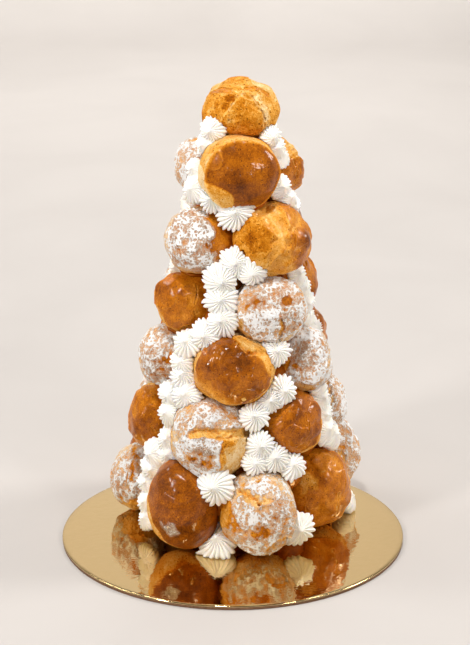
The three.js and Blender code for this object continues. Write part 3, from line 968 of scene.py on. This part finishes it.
MARKS["bun_6_2"] = [
    *BROWN_BASE,
    cap(-0.05, 0.1, 80, lip=1.2, edge=1.8, bake=0.46, heart=0.04),
    flap(0.16, -0.36, 17, rise=1.2, bake=0.02, rim=0.06),
    spot(-0.5, -0.1, 20, edge=0.6, bake=-0.06),
    spot(0.08, 0.25, 9, rise=0.6, bake=-0.04),
    tear([(0.5, 0.36), (0.54, 0.1)], wide=1.0, deep=0.7, crumb=0.2),
    tear([(0.62, 0.06), (0.6, -0.2)], wide=1.0, deep=0.7, crumb=0.3),
    tear([(0.5, -0.7), (0.62, -0.56)], wide=1.2, deep=0.7, crumb=0.6),
]
MARKS["bun_6_3"] = [
    *BROWN_BASE,
    cap(0.5, 0.1, 60, lip=1.4, bake=0.22, gloss=0.4),
    dusting(0.85, 0.5, 0.3, 100, patch=6),
    tear([(0.35, 0.65), (0.55, 0.1), (0.4, -0.5)], wide=2.8, deep=1.4),
]
MARKS["bun_6_6"] = [
    *BROWN_BASE,
    cap(-0.6, 0, 60, lip=1.2, bake=0.22, gloss=0.3),
    dusting(0.85, -0.6, 0.1, 110, patch=6),
]
MARKS["bun_6_7"] = [
    *BROWN_BASE,
    cap(-0.1, 0.05, 76, lip=1.0, bake=0.34, gloss=0.85),
    flap(-0.45, 0.5, 24, rise=0.6, bake=-0.06, rim=0.06, gloss=-0.4),
    tear([(-0.1, -0.35), (0.05, -0.5), (0.25, -0.55)], wide=1.2, deep=0.8, crumb=0.4),
]
MARKS["bun_7_1"] = [
    pores(0.6),
    dents(0.5, 15),
    lumps(0.1, 6),
    cap(0.22, 0.1, 84, lip=0.8, edge=2.2, bake=0.5, wobble=2.0, heart=0.1),
    spot(-0.12, 0.5, 24, edge=0.4, rise=-1.1),
    band([(-0.45, 0.34), (-0.25, 0.2), (0.08, 0.16), (0.3, 0.3)], 2.4, edge=0.5, ragged=0.25, rise=0.35),
    spot(-0.35, -0.6, 10, edge=0.95, wobble=0.3, sugar=0.55),
    tear([(-0.86, -0.38), (-0.72, -0.66), (-0.42, -0.9)], wide=0.9, deep=0.6, crumb=0.9),
]
MARKS["bun_7_2"] = [
    *GOLDEN_BASE,
    cap(0.15, -0.15, 62, lip=1.4, bake=0.18, gloss=0.3),
    dusting(0.62, 0.1, -0.05, 84, patch=5),
    dusting(0.7, 0.2, 0.82, 40, patch=4),
    spot(-0.35, 0.05, 16, edge=0.6, sugar=0.4),
    spot(0.18, 0.0, 12, edge=0.6, sugar=0.4),
    spot(-0.95, 0.1, 26, edge=0.25, sugar=-1.2, bake=0.1),
    band([(-0.48, 0.52), (-0.2, 0.42), (0.0, 0.3), (0.2, 0.34)], 7, edge=0.6, ragged=0.4, rise=-1.6,
         sugar=0, bake=0.2, crumb=0.4),
    tear([(-0.5, 0.6), (-0.28, 0.5), (-0.08, 0.44), (0.02, 0.3)], wide=2.6, deep=3.0, crumb=0.6),
    tear([(0.02, 0.3), (0.2, 0.4)], wide=1.6, deep=1.6, crumb=0.6),
    tear([(0.66, 0.62), (0.84, 0.4)], wide=2.4, deep=1.4),
    tear([(0.22, -0.9), (0.5, -0.7), (0.72, -0.62)], wide=3.0, deep=2.4),
    spot(0.05, -0.5, 12, edge=0.4, sugar=-0.5, bake=0.16),
]
MARKS["bun_7_3"] = [
    *BROWN_BASE,
    cap(0.2, 0.0, 78, lip=1.2, bake=0.32, wobble=1.6, heart=0.1),
    spot(-0.28, 0.2, 15, edge=0.3, wobble=0.2, bake=-0.34, gloss=-0.9, rise=-0.5, porous=0.9),
    tear([(0.62, -0.15), (0.58, -0.4), (0.44, -0.78)], wide=1.6, deep=1.2, crumb=1.2),
    band([(0.74, 0.5), (0.82, 0.1), (0.76, -0.2)], 1.6, rise=0.5),
    flap(0.14, 0.7, 16, rise=0.7, bake=0.0, rim=0.06),
    tear([(-0.3, -0.2), (-0.26, -0.55)], wide=1.0, deep=0.7, crumb=0.3),
]
MARKS["bun_7_4"] = [
    *BROWN_BASE,
    cap(0.5, 0.3, 56, lip=1.4, bake=0.2, gloss=0.5),
    dusting(0.8, 0.4, 0.55, 70, patch=6),
    tear([(0.2, 0.3), (0.45, 0.0), (0.5, -0.4)], wide=3.2, deep=1.6),
    spot(0.4, -0.5, 24, gloss=0.6),
]
MARKS["bun_7_8"] = [
    *GOLDEN_BASE,
    cap(-0.1, 0.05, 60, lip=1.4, bake=0.24, gloss=0.4),
    dusting(0.74, -0.1, 0.2, 92, patch=5),
    band([(-0.05, 0.85), (-0.1, 0.3), (-0.16, 0.0)], 3, edge=0.5, ragged=0.3, sugar=0),
    tear([(-0.3, 0.2), (-0.34, -0.2), (-0.2, -0.4)], wide=1.2, deep=0.9, crumb=0.4),
    spot(0.25, -0.95, 28, edge=0.25, sugar=-1.2),
]
print(len(MARKS), "buns with marks of their own")

# %% Marks by rule, for the buns at the back
def drawn_marks(kind, seed):
    """A list of marks for a bun of one kind, drawn at random."""
    chance = np.random.default_rng(seed)

    def somewhere(far):
        turn, reach = chance.uniform(0, 2 * math.pi), far * math.sqrt(chance.uniform(0, 1))
        return reach * math.cos(turn), reach * math.sin(turn)

    marks = list(GOLDEN_BASE if kind == "golden" else BROWN_BASE)
    x, y = somewhere(0.25)
    if kind == "golden":
        for _ in range(4):
            marks.append(flap(*somewhere(0.8), chance.uniform(20, 34), rise=chance.uniform(0.6, 1.6),
                              bake=chance.uniform(0.04, 0.24)))
    else:
        marks.append(cap(x, y, chance.uniform(58, 74), lip=chance.uniform(1.2, 2.0),
                         bake=chance.uniform(0.34, 0.44) if kind == "brown" else 0.26,
                         gloss=0.95 if kind == "brown" else 0.3))
    for _ in range(2 if kind == "golden" else 1):
        x, y = somewhere(0.7)
        turn = chance.uniform(0, math.pi)
        bend = []
        for s in (-1, 0, 1):
            way = turn + 0.4 * s
            bend.append((x + 0.3 * s * math.cos(way), y + 0.3 * s * math.sin(way)))
        marks.append(tear(bend, wide=chance.uniform(1.4, 4.5), deep=chance.uniform(0.9, 2.2)))
    if kind == "sugared":
        marks.append(dusting(chance.uniform(0.7, 0.9), *somewhere(0.3), 110, patch=chance.uniform(5, 9)))
    return marks


KINDS = {slot["node"]: slot["material_slot"] for slot in frame["record"]["subparts"]}
print("kinds of crust:", sorted({KINDS[name] for name in bun_nodes}))

# %% Make the buns
BASE_BAKE = {"brown": 0.285, "golden": 0.20, "sugared": 0.24}
SUGAR_STANDS = 0.25  # millimetres of icing sugar where it is thick
bun_skins = {}


def ring_table(values, rings):
    """One row for each ring of the net, with the poles as rings of equal values."""
    rows = values[1:-1].reshape(rings, -1)
    return np.concatenate([np.full_like(rows[:1], values[0]), rows, np.full_like(rows[:1], values[-1])])


def make_bun(node, seed):
    kind = KINDS[node].removeprefix("crust_")
    middle = middle_of(node)
    row = int(node.split("_")[1])
    dome = outwards(degrees_round(middle), ROW_LOOK[row])
    axes = axes_towards(dome) if row > 1 else np.eye(3)
    net_ways, net_faces, downs = NETS["front" if node in MARKS else "back"]
    ways = net_ways @ axes
    distance = skin_distance(node, middle, ways)
    skin = Skin(ways, distance, FRONT if node in MARKS else dome, seed)
    skin.bake += BASE_BAKE[kind]
    for change in MARKS.get(node) or drawn_marks(kind, seed):
        change(skin)
    skin.sugar = np.clip(skin.sugar, 0, 1.2)
    skin.rise += SUGAR_STANDS * np.clip(skin.sugar, 0, 1)
    bun_skins[node] = {
        "middle": middle,
        "axes": axes,
        "downs": np.concatenate([[0], downs, [180]]),
        "table": ring_table(distance + skin.rise, len(downs)),
    }
    points = middle + ways * (distance + skin.rise)[:, None]
    bun = mesh_object(node + "_crust", points, net_faces, [CRUST[kind]])
    for field in FIELDS[1:]:
        give(bun.data, field, np.clip(getattr(skin, field), 0, 1.5))
    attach(bun, "root")
    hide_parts(node)
    return len(net_faces)


triangles = sum(make_bun(node, seed) for seed, node in enumerate(bun_nodes))
print(triangles, "triangles on", len(bun_skins), "buns")

# %% [markdown]
# ## Cream
#
# Each star is one short squeeze of a piping bag with a toothed nozzle: a low dome of
# sharp ridges that run from its tip out to its rim, a little twisted, each ending in a
# small tooth. It could be a twisted, tapered extrusion of a star, but then its ridges
# would be as deep at the tip as at the rim. A profile that says how deep the grooves are
# at each height gives both. Eight different stars are modelled once.

# %% One piped star
STAR_KINDS = 8
STAR_STEPS = 6  # points from one groove to the next
STAR_RIDGES = (17, 22)  # from the first up to below the second
STAR_PROFILE = [  # from the root to near the tip, for a star one across: out, up, groove, point
    (0.18, -0.36, 0.00, 0.0),
    (0.34, -0.26, 0.03, 0.4),
    (0.45, -0.15, 0.06, 0.7),
    (0.505, -0.05, 0.08, 0.9),
    (0.525, 0.01, 0.09, 1.0),
    (0.515, 0.07, 0.095, 1.0),
    (0.47, 0.135, 0.10, 0.9),
    (0.40, 0.19, 0.10, 0.8),
    (0.32, 0.235, 0.10, 0.7),
    (0.24, 0.27, 0.09, 0.6),
    (0.16, 0.30, 0.07, 0.5),
    (0.09, 0.33, 0.045, 0.3),
    (0.035, 0.37, 0.015, 0.0),
]
STAR_TIP = 0.40


def star_shape(name, seed):
    chance = np.random.default_rng(seed)
    ridges = int(chance.integers(*STAR_RIDGES))
    turn = circle(ridges * STAR_STEPS)
    across = np.abs(2 * (turn / (2 * math.pi) * ridges % 1) - 1)  # 0 on a ridge, 1 in a groove
    whose = (turn / (2 * math.pi) * ridges).astype(int)
    long = chance.normal(1, 0.06, ridges)[whose]
    bent = chance.normal(0, 0.06, ridges)[whose]
    twist = chance.uniform(0.25, 0.8)
    lean = chance.normal(0, 0.04, 2)
    oval = chance.uniform(0.92, 1.08)
    out, up = np.array(STAR_PROFILE).T[:2]
    slope = np.stack([np.gradient(up), -np.gradient(out)])
    slope /= np.linalg.norm(slope, axis=0)
    rings = []
    for (r, z, groove, point), nr, nz in zip(STAR_PROFILE, slope[0], slope[1]):
        cut = groove * across ** (2.4 - 0.8 * point)
        reach = r * (1 + (long - 1) * (1 - across ** 2) * (r / 0.5) ** 4) - cut * max(nr, 0.35)
        angle = turn + twist * (1 - r / 0.55) ** 1.5 + bent * (r / 0.5) ** 3 * (1 - across)
        tip = max(z, 0) / STAR_TIP
        rings.append(np.column_stack([
            reach * np.cos(angle) * oval + lean[0] * tip,
            reach * np.sin(angle) / oval + lean[1] * tip,
            z - cut * nz * 0.9,
        ]))
    points = np.concatenate([[[0, 0, up[0] - 0.03]], *rings, [[*lean, STAR_TIP]]])
    return mesh_object(name, points, ring_faces(len(rings), len(turn)))


star_box = bpy.data.collections.new("piped_stars")
for seed in range(STAR_KINDS):
    shape = star_shape(f"star_{seed}", 40 + seed)
    bpy.context.scene.collection.objects.unlink(shape)
    star_box.objects.link(shape)

# %% [markdown]
# ### Stars on points
#
# Ninety stars could be placed one by one as objects. A Geometry Nodes tree does it with
# less: it reads from each point which way its star faces and how wide it is, picks one of
# the eight shapes, gives it a random spin, and joins them all into one mesh.

# %% The tree that sets stars on points
TREE_INPUTS = {"Geometry": "Geometry", "Stars": "Collection", "Fullness": "Float", "Seed": "Int",
               "Cream": "Material"}


def star_tree():
    tree = bpy.data.node_groups.new("set_stars", "GeometryNodeTree")
    for name, kind in TREE_INPUTS.items():
        tree.interface.new_socket(name, in_out="INPUT", socket_type="NodeSocket" + kind)
    tree.interface.new_socket("Geometry", in_out="OUTPUT", socket_type="NodeSocketGeometry")
    add = Nodes(tree).node
    given = add("NodeGroupInput")
    stars = add("GeometryNodeCollectionInfo", {
        "Collection": given["Stars"], "Separate Children": True, "Reset Children": True})
    facing = add("GeometryNodeInputNamedAttribute", {"Name": "facing"}, data_type="FLOAT_VECTOR")
    across = add("GeometryNodeInputNamedAttribute", {"Name": "across"})
    turned = add("FunctionNodeEulerToRotation", {0: facing["Attribute"]})
    spin = add("FunctionNodeRandomValue", {"Seed": given["Seed"], "Max": 2 * math.pi})
    about = add("FunctionNodeAxisAngleToRotation", {"Angle": spin["Value"]})
    spun = add("FunctionNodeRotateRotation", {0: turned[0], 1: about[0]}, rotation_space="LOCAL")
    size = add("ShaderNodeMath", {0: across["Attribute"], 1: given["Fullness"]}, operation="MULTIPLY")
    pick = add("FunctionNodeRandomValue", {"Max": STAR_KINDS - 1, "Seed": given["Seed"]}, data_type="INT")
    placed = add("GeometryNodeInstanceOnPoints", {
        "Points": given["Geometry"], "Instance": stars[0], "Pick Instance": True,
        "Instance Index": pick[2], "Rotation": spun[0], "Scale": size[0]})
    real = add("GeometryNodeRealizeInstances", {0: placed[0]})
    finished = add("GeometryNodeSetMaterial", {"Geometry": real[0], "Material": given["Cream"]})
    add("NodeGroupOutput", {0: finished[0]})
    return tree


def grow(tree, start, **inputs):
    """The mesh that a tree makes from an object, with the tree's inputs set by name."""
    modifier = start.modifiers.new("tree", "NODES")
    modifier.node_group = tree
    for socket in tree.interface.items_tree:
        if socket.in_out == "INPUT" and socket.name in inputs:
            modifier[socket.identifier] = inputs[socket.name]
    seen = start.evaluated_get(bpy.context.evaluated_depsgraph_get())
    mesh = bpy.data.meshes.new_from_object(seen)
    start.modifiers.remove(modifier)
    return mesh


STAR_TREE = star_tree()
print("tree with", len(STAR_TREE.nodes), "nodes")

# %% [markdown]
# ### The look of cream
#
# Whipped cream is bright, a little warm, and lets light in, so shadows in its grooves
# are soft. Plain white would look like plaster. Subsurface scattering over a millimetre
# lights the grooves from within.

# %% Cream material
def cream_material():
    shader = Shader("piped_cream")
    soft = shader.noise(6, detail=2)
    shader.set(Base_Color=shader.ramp(soft, shades(paint(252, 248, 240), paint(254, 252, 246))))
    shader.set(Roughness=shader.blend(soft, 0.42, 0.55))
    shader.set(Subsurface_Weight=0.4, Subsurface_Radius=(1.0, 0.85, 0.6), Subsurface_Scale=1.2 * MM)
    shader.bump(shader.noise(0.9, detail=2), 0.12)
    return shader.material


CREAM = cream_material()
print("cream:", CREAM.name)

# %% [markdown]
# ### Runs of stars
#
# The stars follow the runs of the solids, where a cook filled the gaps from top to
# bottom. Each one is placed by its degrees round the tower, its height, its width and,
# for some, how far it stands out from the cone.

# %% Where the stars are
CREAM_LOOK = 12  # degrees that most stars point up
LOOKS = {14: 16, 15: 16, 16: 35, 18: 24}
RUNS = {
    1: [(-38, 306, 20), (-46, 296, 17)],
    2: [(56, 301, 18), (64, 292, 17), (73, 284, 17)],
    3: [(-60, 277, 17), (-54, 264, 21)],
    4: [(-26, 261, 22), (-2, 251, 26)],
    5: [(57, 265, 19), (67, 255, 19), (78, 247, 18), (90, 243, 18, -5)],
    6: [(-2, 217, 23), (12, 211, 24), (-14, 205, 26), (-12, 190, 25), (-11, 175, 24),
        (-23, 164, 23), (-38, 156, 23), (-41, 142, 20), (-39, 132, 20)],
    7: [(61, 202, 17), (66, 191, 17), (69, 179, 17), (71, 168, 16, -2)],
    8: [(28, 152, 24)],
    9: [(-34, 119, 22), (-48, 116, 22), (-47, 102, 21)],
    10: [(31, 123, 23), (21, 117, 19), (11, 107, 23)],
    11: [(68, 116, 18), (70, 106, 19), (69, 94, 21), (68, 82, 22), (82, 72, 23), (96, 63, 21)],
    12: [(14, 85, 23), (10, 74, 20), (23, 75, 22), (34, 67, 23)],
    13: [(-46, 83, 20), (-44, 73, 20), (-57, 68, 23), (-58, 57, 21), (-62, 44, 20)],
    14: [(-11, 59, 29, 7)],
    15: [(-59, 30, 19, 1), (-58, 18, 18, 1)],
    16: [(-12, 11, 31, -6)],
    17: [(34, 20, 26, 2)],
    18: [(94, 13, 23, 6)],
    19: [(-70, 205, 18, -4), (-86, 201, 19, -7), (-104, 191, 20, -6), (-106, 178, 19, -6),
         (-108, 165, 20, -5)],
    20: [(-104, 246, 20, -5), (-106, 233, 20, -5)],
    21: [(181, 299, 21), (180, 286, 20), (181, 272, 20), (175, 258, 20), (184, 246, 22)],
    22: [(139, 199, 21), (140, 185, 19), (141, 171, 19), (142, 158, 21), (154, 154, 20)],
    23: [(-155, 200, 21), (-156, 186, 19), (-156, 172, 19), (-153, 160, 21)],
    24: [(-100, 115, 21), (-104, 101, 19), (-104, 87, 18), (-105, 74, 19), (-107, 62, 20)],
    25: [(108, 158, 20, -5), (106, 145, 19, -3), (100, 132, 18), (96, 118, 21)],
}
CREAM_TURN = 28  # degrees that stars at the sides are turned towards the front
CONE_FOOT = 78  # how far from the axis the stars stand at the height of the table
CONE_LEAN = 0.1  # how much less for each millimetre up
CONE_BEND = 0.00022  # and for its square


def star_faces(at, look):
    """The way that a star looks: a little towards the front, where it was piped from."""
    return outwards(at - CREAM_TURN * math.sin(math.radians(at)), look)


def star_place(at, z, further=0):
    way = outwards(at, 0)
    reach = CONE_FOOT - CONE_LEAN * z - CONE_BEND * z * z + further
    return np.array([AXIS[0] + reach * way[0], AXIS[1] + reach * way[1], z])


print(sum(len(run) for run in RUNS.values()), "stars in", len(RUNS), "runs")

# %% [markdown]
# ### Cream that rests on crust
#
# Cream is soft, so a star that is pressed on a bun bends over it. A cloth or soft body
# simulation would be slow for that. The skins are already known as tables of distances,
# so points that would be just inside a bun are moved out to its crust, and what would
# go through the board is flattened on it.

# %% Lay cream on the crust
LAID_DEEPEST = 4.5  # millimetres inside a bun past which cream stays hidden in it
LAID_ENDS = 1.6 * LAID_DEEPEST  # the depth from which it isn't moved at all
LAID_OUT = 0.35  # how far laid cream stands off the crust
SUNK = 0.3  # how far the hidden underside of cream or caramel may reach into the board
FLATTENED = 0.95


def crust_reach(skin, points):
    """How far each point would be from the bun's middle if it were on its crust."""
    away = points - skin["middle"]
    far = np.linalg.norm(away, axis=1)
    local = away @ skin["axes"].T / np.maximum(far, 1e-6)[:, None]
    down = np.degrees(np.arccos(np.clip(local[:, 2], -1, 1)))
    ring = np.interp(down, skin["downs"], np.arange(len(skin["downs"])))
    table = skin["table"]
    around = table.shape[1]
    turn = (np.arctan2(local[:, 1], local[:, 0]) / (2 * math.pi) % 1) * around
    i, j = np.minimum(ring.astype(int), len(table) - 2), turn.astype(int)
    u, v = ring - i, turn - j
    near = table[i, j % around] * (1 - v) + table[i, (j + 1) % around] * v
    far_ring = table[i + 1, j % around] * (1 - v) + table[i + 1, (j + 1) % around] * v
    return near * (1 - u) + far_ring * u, far, away


def rest_on_board(points):
    """Flattens what would go through the board."""
    through = np.minimum(points[:, 2] - board_top + SUNK, 0)
    points[:, 2] -= FLATTENED * through
    return points


def lay_on_crust(points, movable):
    """Moves the points that are just inside a bun out to its crust."""
    for _ in range(2):
        for skin in bun_skins.values():
            close = np.linalg.norm(points - skin["middle"], axis=1) < skin["table"].max() + 1
            close &= movable
            if close.any():
                reach, far, away = crust_reach(skin, points[close])
                deep = reach + LAID_OUT - far
                push = np.where(deep > 0, deep, 0) * fade(deep, LAID_DEEPEST, LAID_ENDS)
                points[close] += away / far[:, None] * push[:, None]
    low = movable & (points[:, 2] < board_top + LAID_OUT)
    points[low, 2] = board_top + LAID_OUT
    return rest_on_board(points)


print("cream is laid up to", LAID_ENDS, "mm deep")

# %% Pipe the runs
STAR_SWAY = 6  # degrees by which a star's way differs from the rule, as a hand does
ROOT_SHARE = 0.12  # cream further behind its middle than this share of its width stays where it is


def run_points(number, run, look):
    """An object with a point for each star, which holds its width and the way it faces."""
    chance = np.random.default_rng(300 + number)
    facings = []
    for at, *_ in run:
        sway = chance.normal(0, STAR_SWAY, 2)
        way = star_faces(at + sway[0], look + sway[1])
        facings.append(Vector(way).to_track_quat("Z", "Y").to_euler())
    starts = [star_place(at, z, *further) for at, z, across, *further in run]
    points = mesh_object(f"cream_{number}_points", starts, np.zeros((0, 3), int))
    give(points.data, "across", [star[2] for star in run])
    give(points.data, "facing", facings)
    return points, np.array(starts)


def pipe_run(number, run):
    look = LOOKS.get(number, CREAM_LOOK)
    points, starts = run_points(number, run, look)
    mesh = grow(STAR_TREE, points, Stars=star_box, Fullness=1.0, Seed=number, Cream=CREAM)
    bpy.data.objects.remove(points)
    name = f"cream_{number}_stars"
    mesh.name = name
    piece = bpy.data.objects.new(name, mesh)
    bpy.context.scene.collection.objects.link(piece)

    spots = places(mesh)
    nearest = np.argmin(np.linalg.norm(spots[:, None] - starts[None], axis=2), axis=1)
    out = np.array([star_faces(star[0], look) for star in run])[nearest]
    height = ((spots - starts[nearest]) * out).sum(1)
    movable = height > -ROOT_SHARE * np.array([star[2] for star in run])[nearest]
    spots = lay_on_crust(spots, movable)
    mesh.vertices.foreach_set("co", (spots * MM).astype(np.float32).ravel())
    mesh.update()
    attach(piece, "root")
    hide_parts(f"cream_{number}")
    return len(mesh.polygons)


print(sum(pipe_run(number, run) for number, run in RUNS.items()), "triangles of cream")
bpy.data.collections.remove(star_box)

# %% [markdown]
# ## Caramel
#
# Each bun was dipped in hot caramel before it was set on its neighbours. It shows only
# as a dark, shiny seam deep between two buns, and where it ran down into an opening and
# set there. A fluid simulation could pour it, but little of it is seen. So each place
# where buns meet gets a thin uneven cushion, and each narrow opening between three buns
# a drop that just fills it.

# %% Caramel cushions
CUSHION_STEPS = 20
CUSHION_PROFILE = ((0.6, -0.5), (0.93, -0.32), (1.0, 0.0), (0.93, 0.32), (0.6, 0.5))  # out, up
CUSHION_OVAL = 0.12
CUSHION_WAVES = 0.08


def caramel_material():
    shader = Shader("hard_caramel")
    cloud = shader.noise(5, detail=2)
    shader.set(Base_Color=shader.ramp(cloud, shades(paint(134, 66, 8), paint(176, 100, 22))))
    shader.set(Roughness=shader.blend(cloud, 0.08, 0.2), Specular_IOR_Level=0.25, Specular_Tint=WARM_SHEEN)
    shader.set(Coat_Weight=0.3, Coat_Roughness=0.05, Coat_Tint=(1.0, 0.8, 0.5))
    shader.bump(shader.noise(2.5, detail=1), 0.3)
    return shader.material


def cushion(middle, way, wide, thick, seed):
    """A flat cushion across way, as a net of points and faces."""
    chance = np.random.default_rng(seed)
    turn = circle(CUSHION_STEPS)
    uneven = 1 + CUSHION_OVAL * np.sin(2 * turn + chance.uniform(0, 6))
    uneven += CUSHION_WAVES * np.sin(5 * turn + chance.uniform(0, 6))
    right, up, out = axes_towards(way) if abs(way[2]) < 0.98 else np.eye(3)
    round_it = np.outer(np.cos(turn) * uneven, right) + np.outer(np.sin(turn) * uneven, up)
    points = [middle - out * thick / 2]
    for reach, height in CUSHION_PROFILE:
        points.extend(middle + round_it * wide / 2 * reach + out * thick * height)
    points.append(middle + out * thick / 2)
    return np.array(points), ring_faces(len(CUSHION_PROFILE), CUSHION_STEPS)


def caramel(name, cushions):
    """Joins cushions into one piece."""
    points, faces, start = [], [], 0
    for net, sides in cushions:
        points.append(rest_on_board(net))
        faces.append(sides + start)
        start += len(net)
    piece = mesh_object(name, np.concatenate(points), np.concatenate(faces), [CARAMEL])
    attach(piece, "root")
    return len(points)


CARAMEL = caramel_material()
print("a cushion has", len(cushion(np.zeros(3), FRONT, 1, 1, 0)[1]), "triangles")

# %% Caramel between buns that touch
SEAM_GAP = 3.0  # millimetres between two crusts that caramel still bridges
SEAM_WIDE = 15
SEAM_THICK = 4
SEAM_BACK = 2  # millimetres towards the axis, so that it shows only deep in a gap


def seams():
    skins = list(bun_skins.values())
    for i, a in enumerate(skins):
        for b in skins[i + 1:]:
            line = b["middle"] - a["middle"]
            apart = np.linalg.norm(line)
            way = line / apart
            reach_a = crust_reach(a, (a["middle"] + way)[None])[0][0]
            reach_b = crust_reach(b, (b["middle"] - way)[None])[0][0]
            if apart - reach_a - reach_b < SEAM_GAP:
                middle = a["middle"] + way * (reach_a + apart - reach_b) / 2
                middle -= SEAM_BACK * outwards(degrees_round(middle), 0)
                wide = SEAM_WIDE * (1 + 0.15 * math.sin(1.7 * i))
                yield cushion(middle, way, wide, SEAM_THICK, i)


print(caramel("caramel_seams", seams()), "seams")

# %% Caramel in openings
WEB_APART = 82  # the middles of buns round an opening are no further apart than this
WEB_LOW = 45  # buns whose middles are lower than this stand on the board
WEB_MOST = 13  # half the width of the widest opening that caramel closes
WEB_LEAST = 0.5
WEB_ROUNDS = 8  # of moving a point to the middle of its opening


def clearance(skin, point):
    """How far a point is from a bun's crust, and the way out from the bun."""
    reach, far, away = crust_reach(skin, point[None])
    return far[0] - reach[0], away[0] / far[0]


def webs():
    """A drop in each opening between three buns, or between two buns and the board."""
    skins = list(bun_skins.values())
    low = [skin for skin in skins if skin["middle"][2] < WEB_LOW]
    for group in itertools.chain(itertools.combinations(skins, 3), itertools.combinations(low, 2)):
        middles = np.array([skin["middle"] for skin in group])
        if max(np.linalg.norm(a - b) for a, b in itertools.combinations(middles, 2)) > WEB_APART:
            continue
        point = middles.mean(0)
        if len(group) == 2:
            point[2] = board_top + WEB_MOST / 2
        for _ in range(WEB_ROUNDS):
            gaps, ways = zip(*(clearance(skin, point) for skin in group))
            if len(group) == 2:
                gaps, ways = (*gaps, point[2] - board_top), (*ways, np.array([0, 0, 1.0]))
            mean = np.mean(gaps)
            point = point - 0.5 * sum((gap - mean) * way for gap, way in zip(gaps, ways))
        if WEB_LEAST < mean < WEB_MOST:
            yield cushion(point, outwards(degrees_round(point), 0), 2 * mean + 6, 0.8 * mean + 5, len(group))


print(caramel("caramel_webs", webs()), "webs")

# %% [markdown]
# ## Board
#
# The board is thick card with gold foil on top, turned down over its rim. A cylinder
# would have a hard edge that catches no light, so both are lathed from an outline with
# a small round rim. Foil is a mirror, but laid on card it is never quite flat, so what
# it reflects has ragged edges.

# %% Board
BOARD_STEPS = 240
BOARD_RIM = 0.5
FOIL_TURNED_DOWN = 0.9


def foil_material():
    shader = Shader("gold_foil")
    wave = shader.noise(5, detail=2, rough=0.5)
    shader.set(Base_Color=shader.ramp(wave, shades((0.71, 0.52, 0.25), (0.69, 0.51, 0.24))))
    shader.set(Metallic=1.0, Roughness=0.05)
    shader.bump(wave, 0.11)
    return shader.material


def card_material():
    shader = Shader("card_edge")
    fibre = shader.noise(1.2, detail=3)
    shader.set(Base_Color=shader.ramp(fibre, shades(paint(98, 66, 42), paint(132, 94, 64))), Roughness=0.8)
    shader.bump(fibre, 0.15)
    return shader.material


def lathe(name, outline, material):
    """A round piece about the board's middle, from (out, up) points that start and end on the axis."""
    turn = circle(BOARD_STEPS)
    points = [[[0, 0, outline[0][1]]]]
    for r, z in outline[1:-1]:
        points.append(np.column_stack([r * np.cos(turn), r * np.sin(turn), np.full(BOARD_STEPS, z)]))
    points.append([[0, 0, outline[-1][1]]])
    faces = ring_faces(len(outline) - 2, BOARD_STEPS)
    piece = mesh_object(name, np.concatenate(points), faces, [material])
    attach(piece, "root")
    return piece


half = (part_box("cake_board")[1].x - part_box("cake_board")[0].x) / 2 / MM
foil_low = board_top - FOIL_TURNED_DOWN
foil = lathe("board_foil", [
    (0, foil_low + 0.3), (half - 1.5, foil_low + 0.3), (half - 0.2, foil_low), (half, foil_low + 0.1),
    (half, board_top - BOARD_RIM), (half - 0.15, board_top - 0.15), (half - BOARD_RIM, board_top),
    (half - 3, board_top), (0, board_top)], foil_material())
card = lathe("board_card", [
    (0, 0), (half - 0.4, 0), (half - 0.2, 0.2), (half - 0.2, foil_low - 0.05), (half - 0.5, foil_low + 0.05),
    (0, foil_low + 0.05)], card_material())
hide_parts("cake_board")
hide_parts("cake_board")
print("board", 2 * half, "mm across")
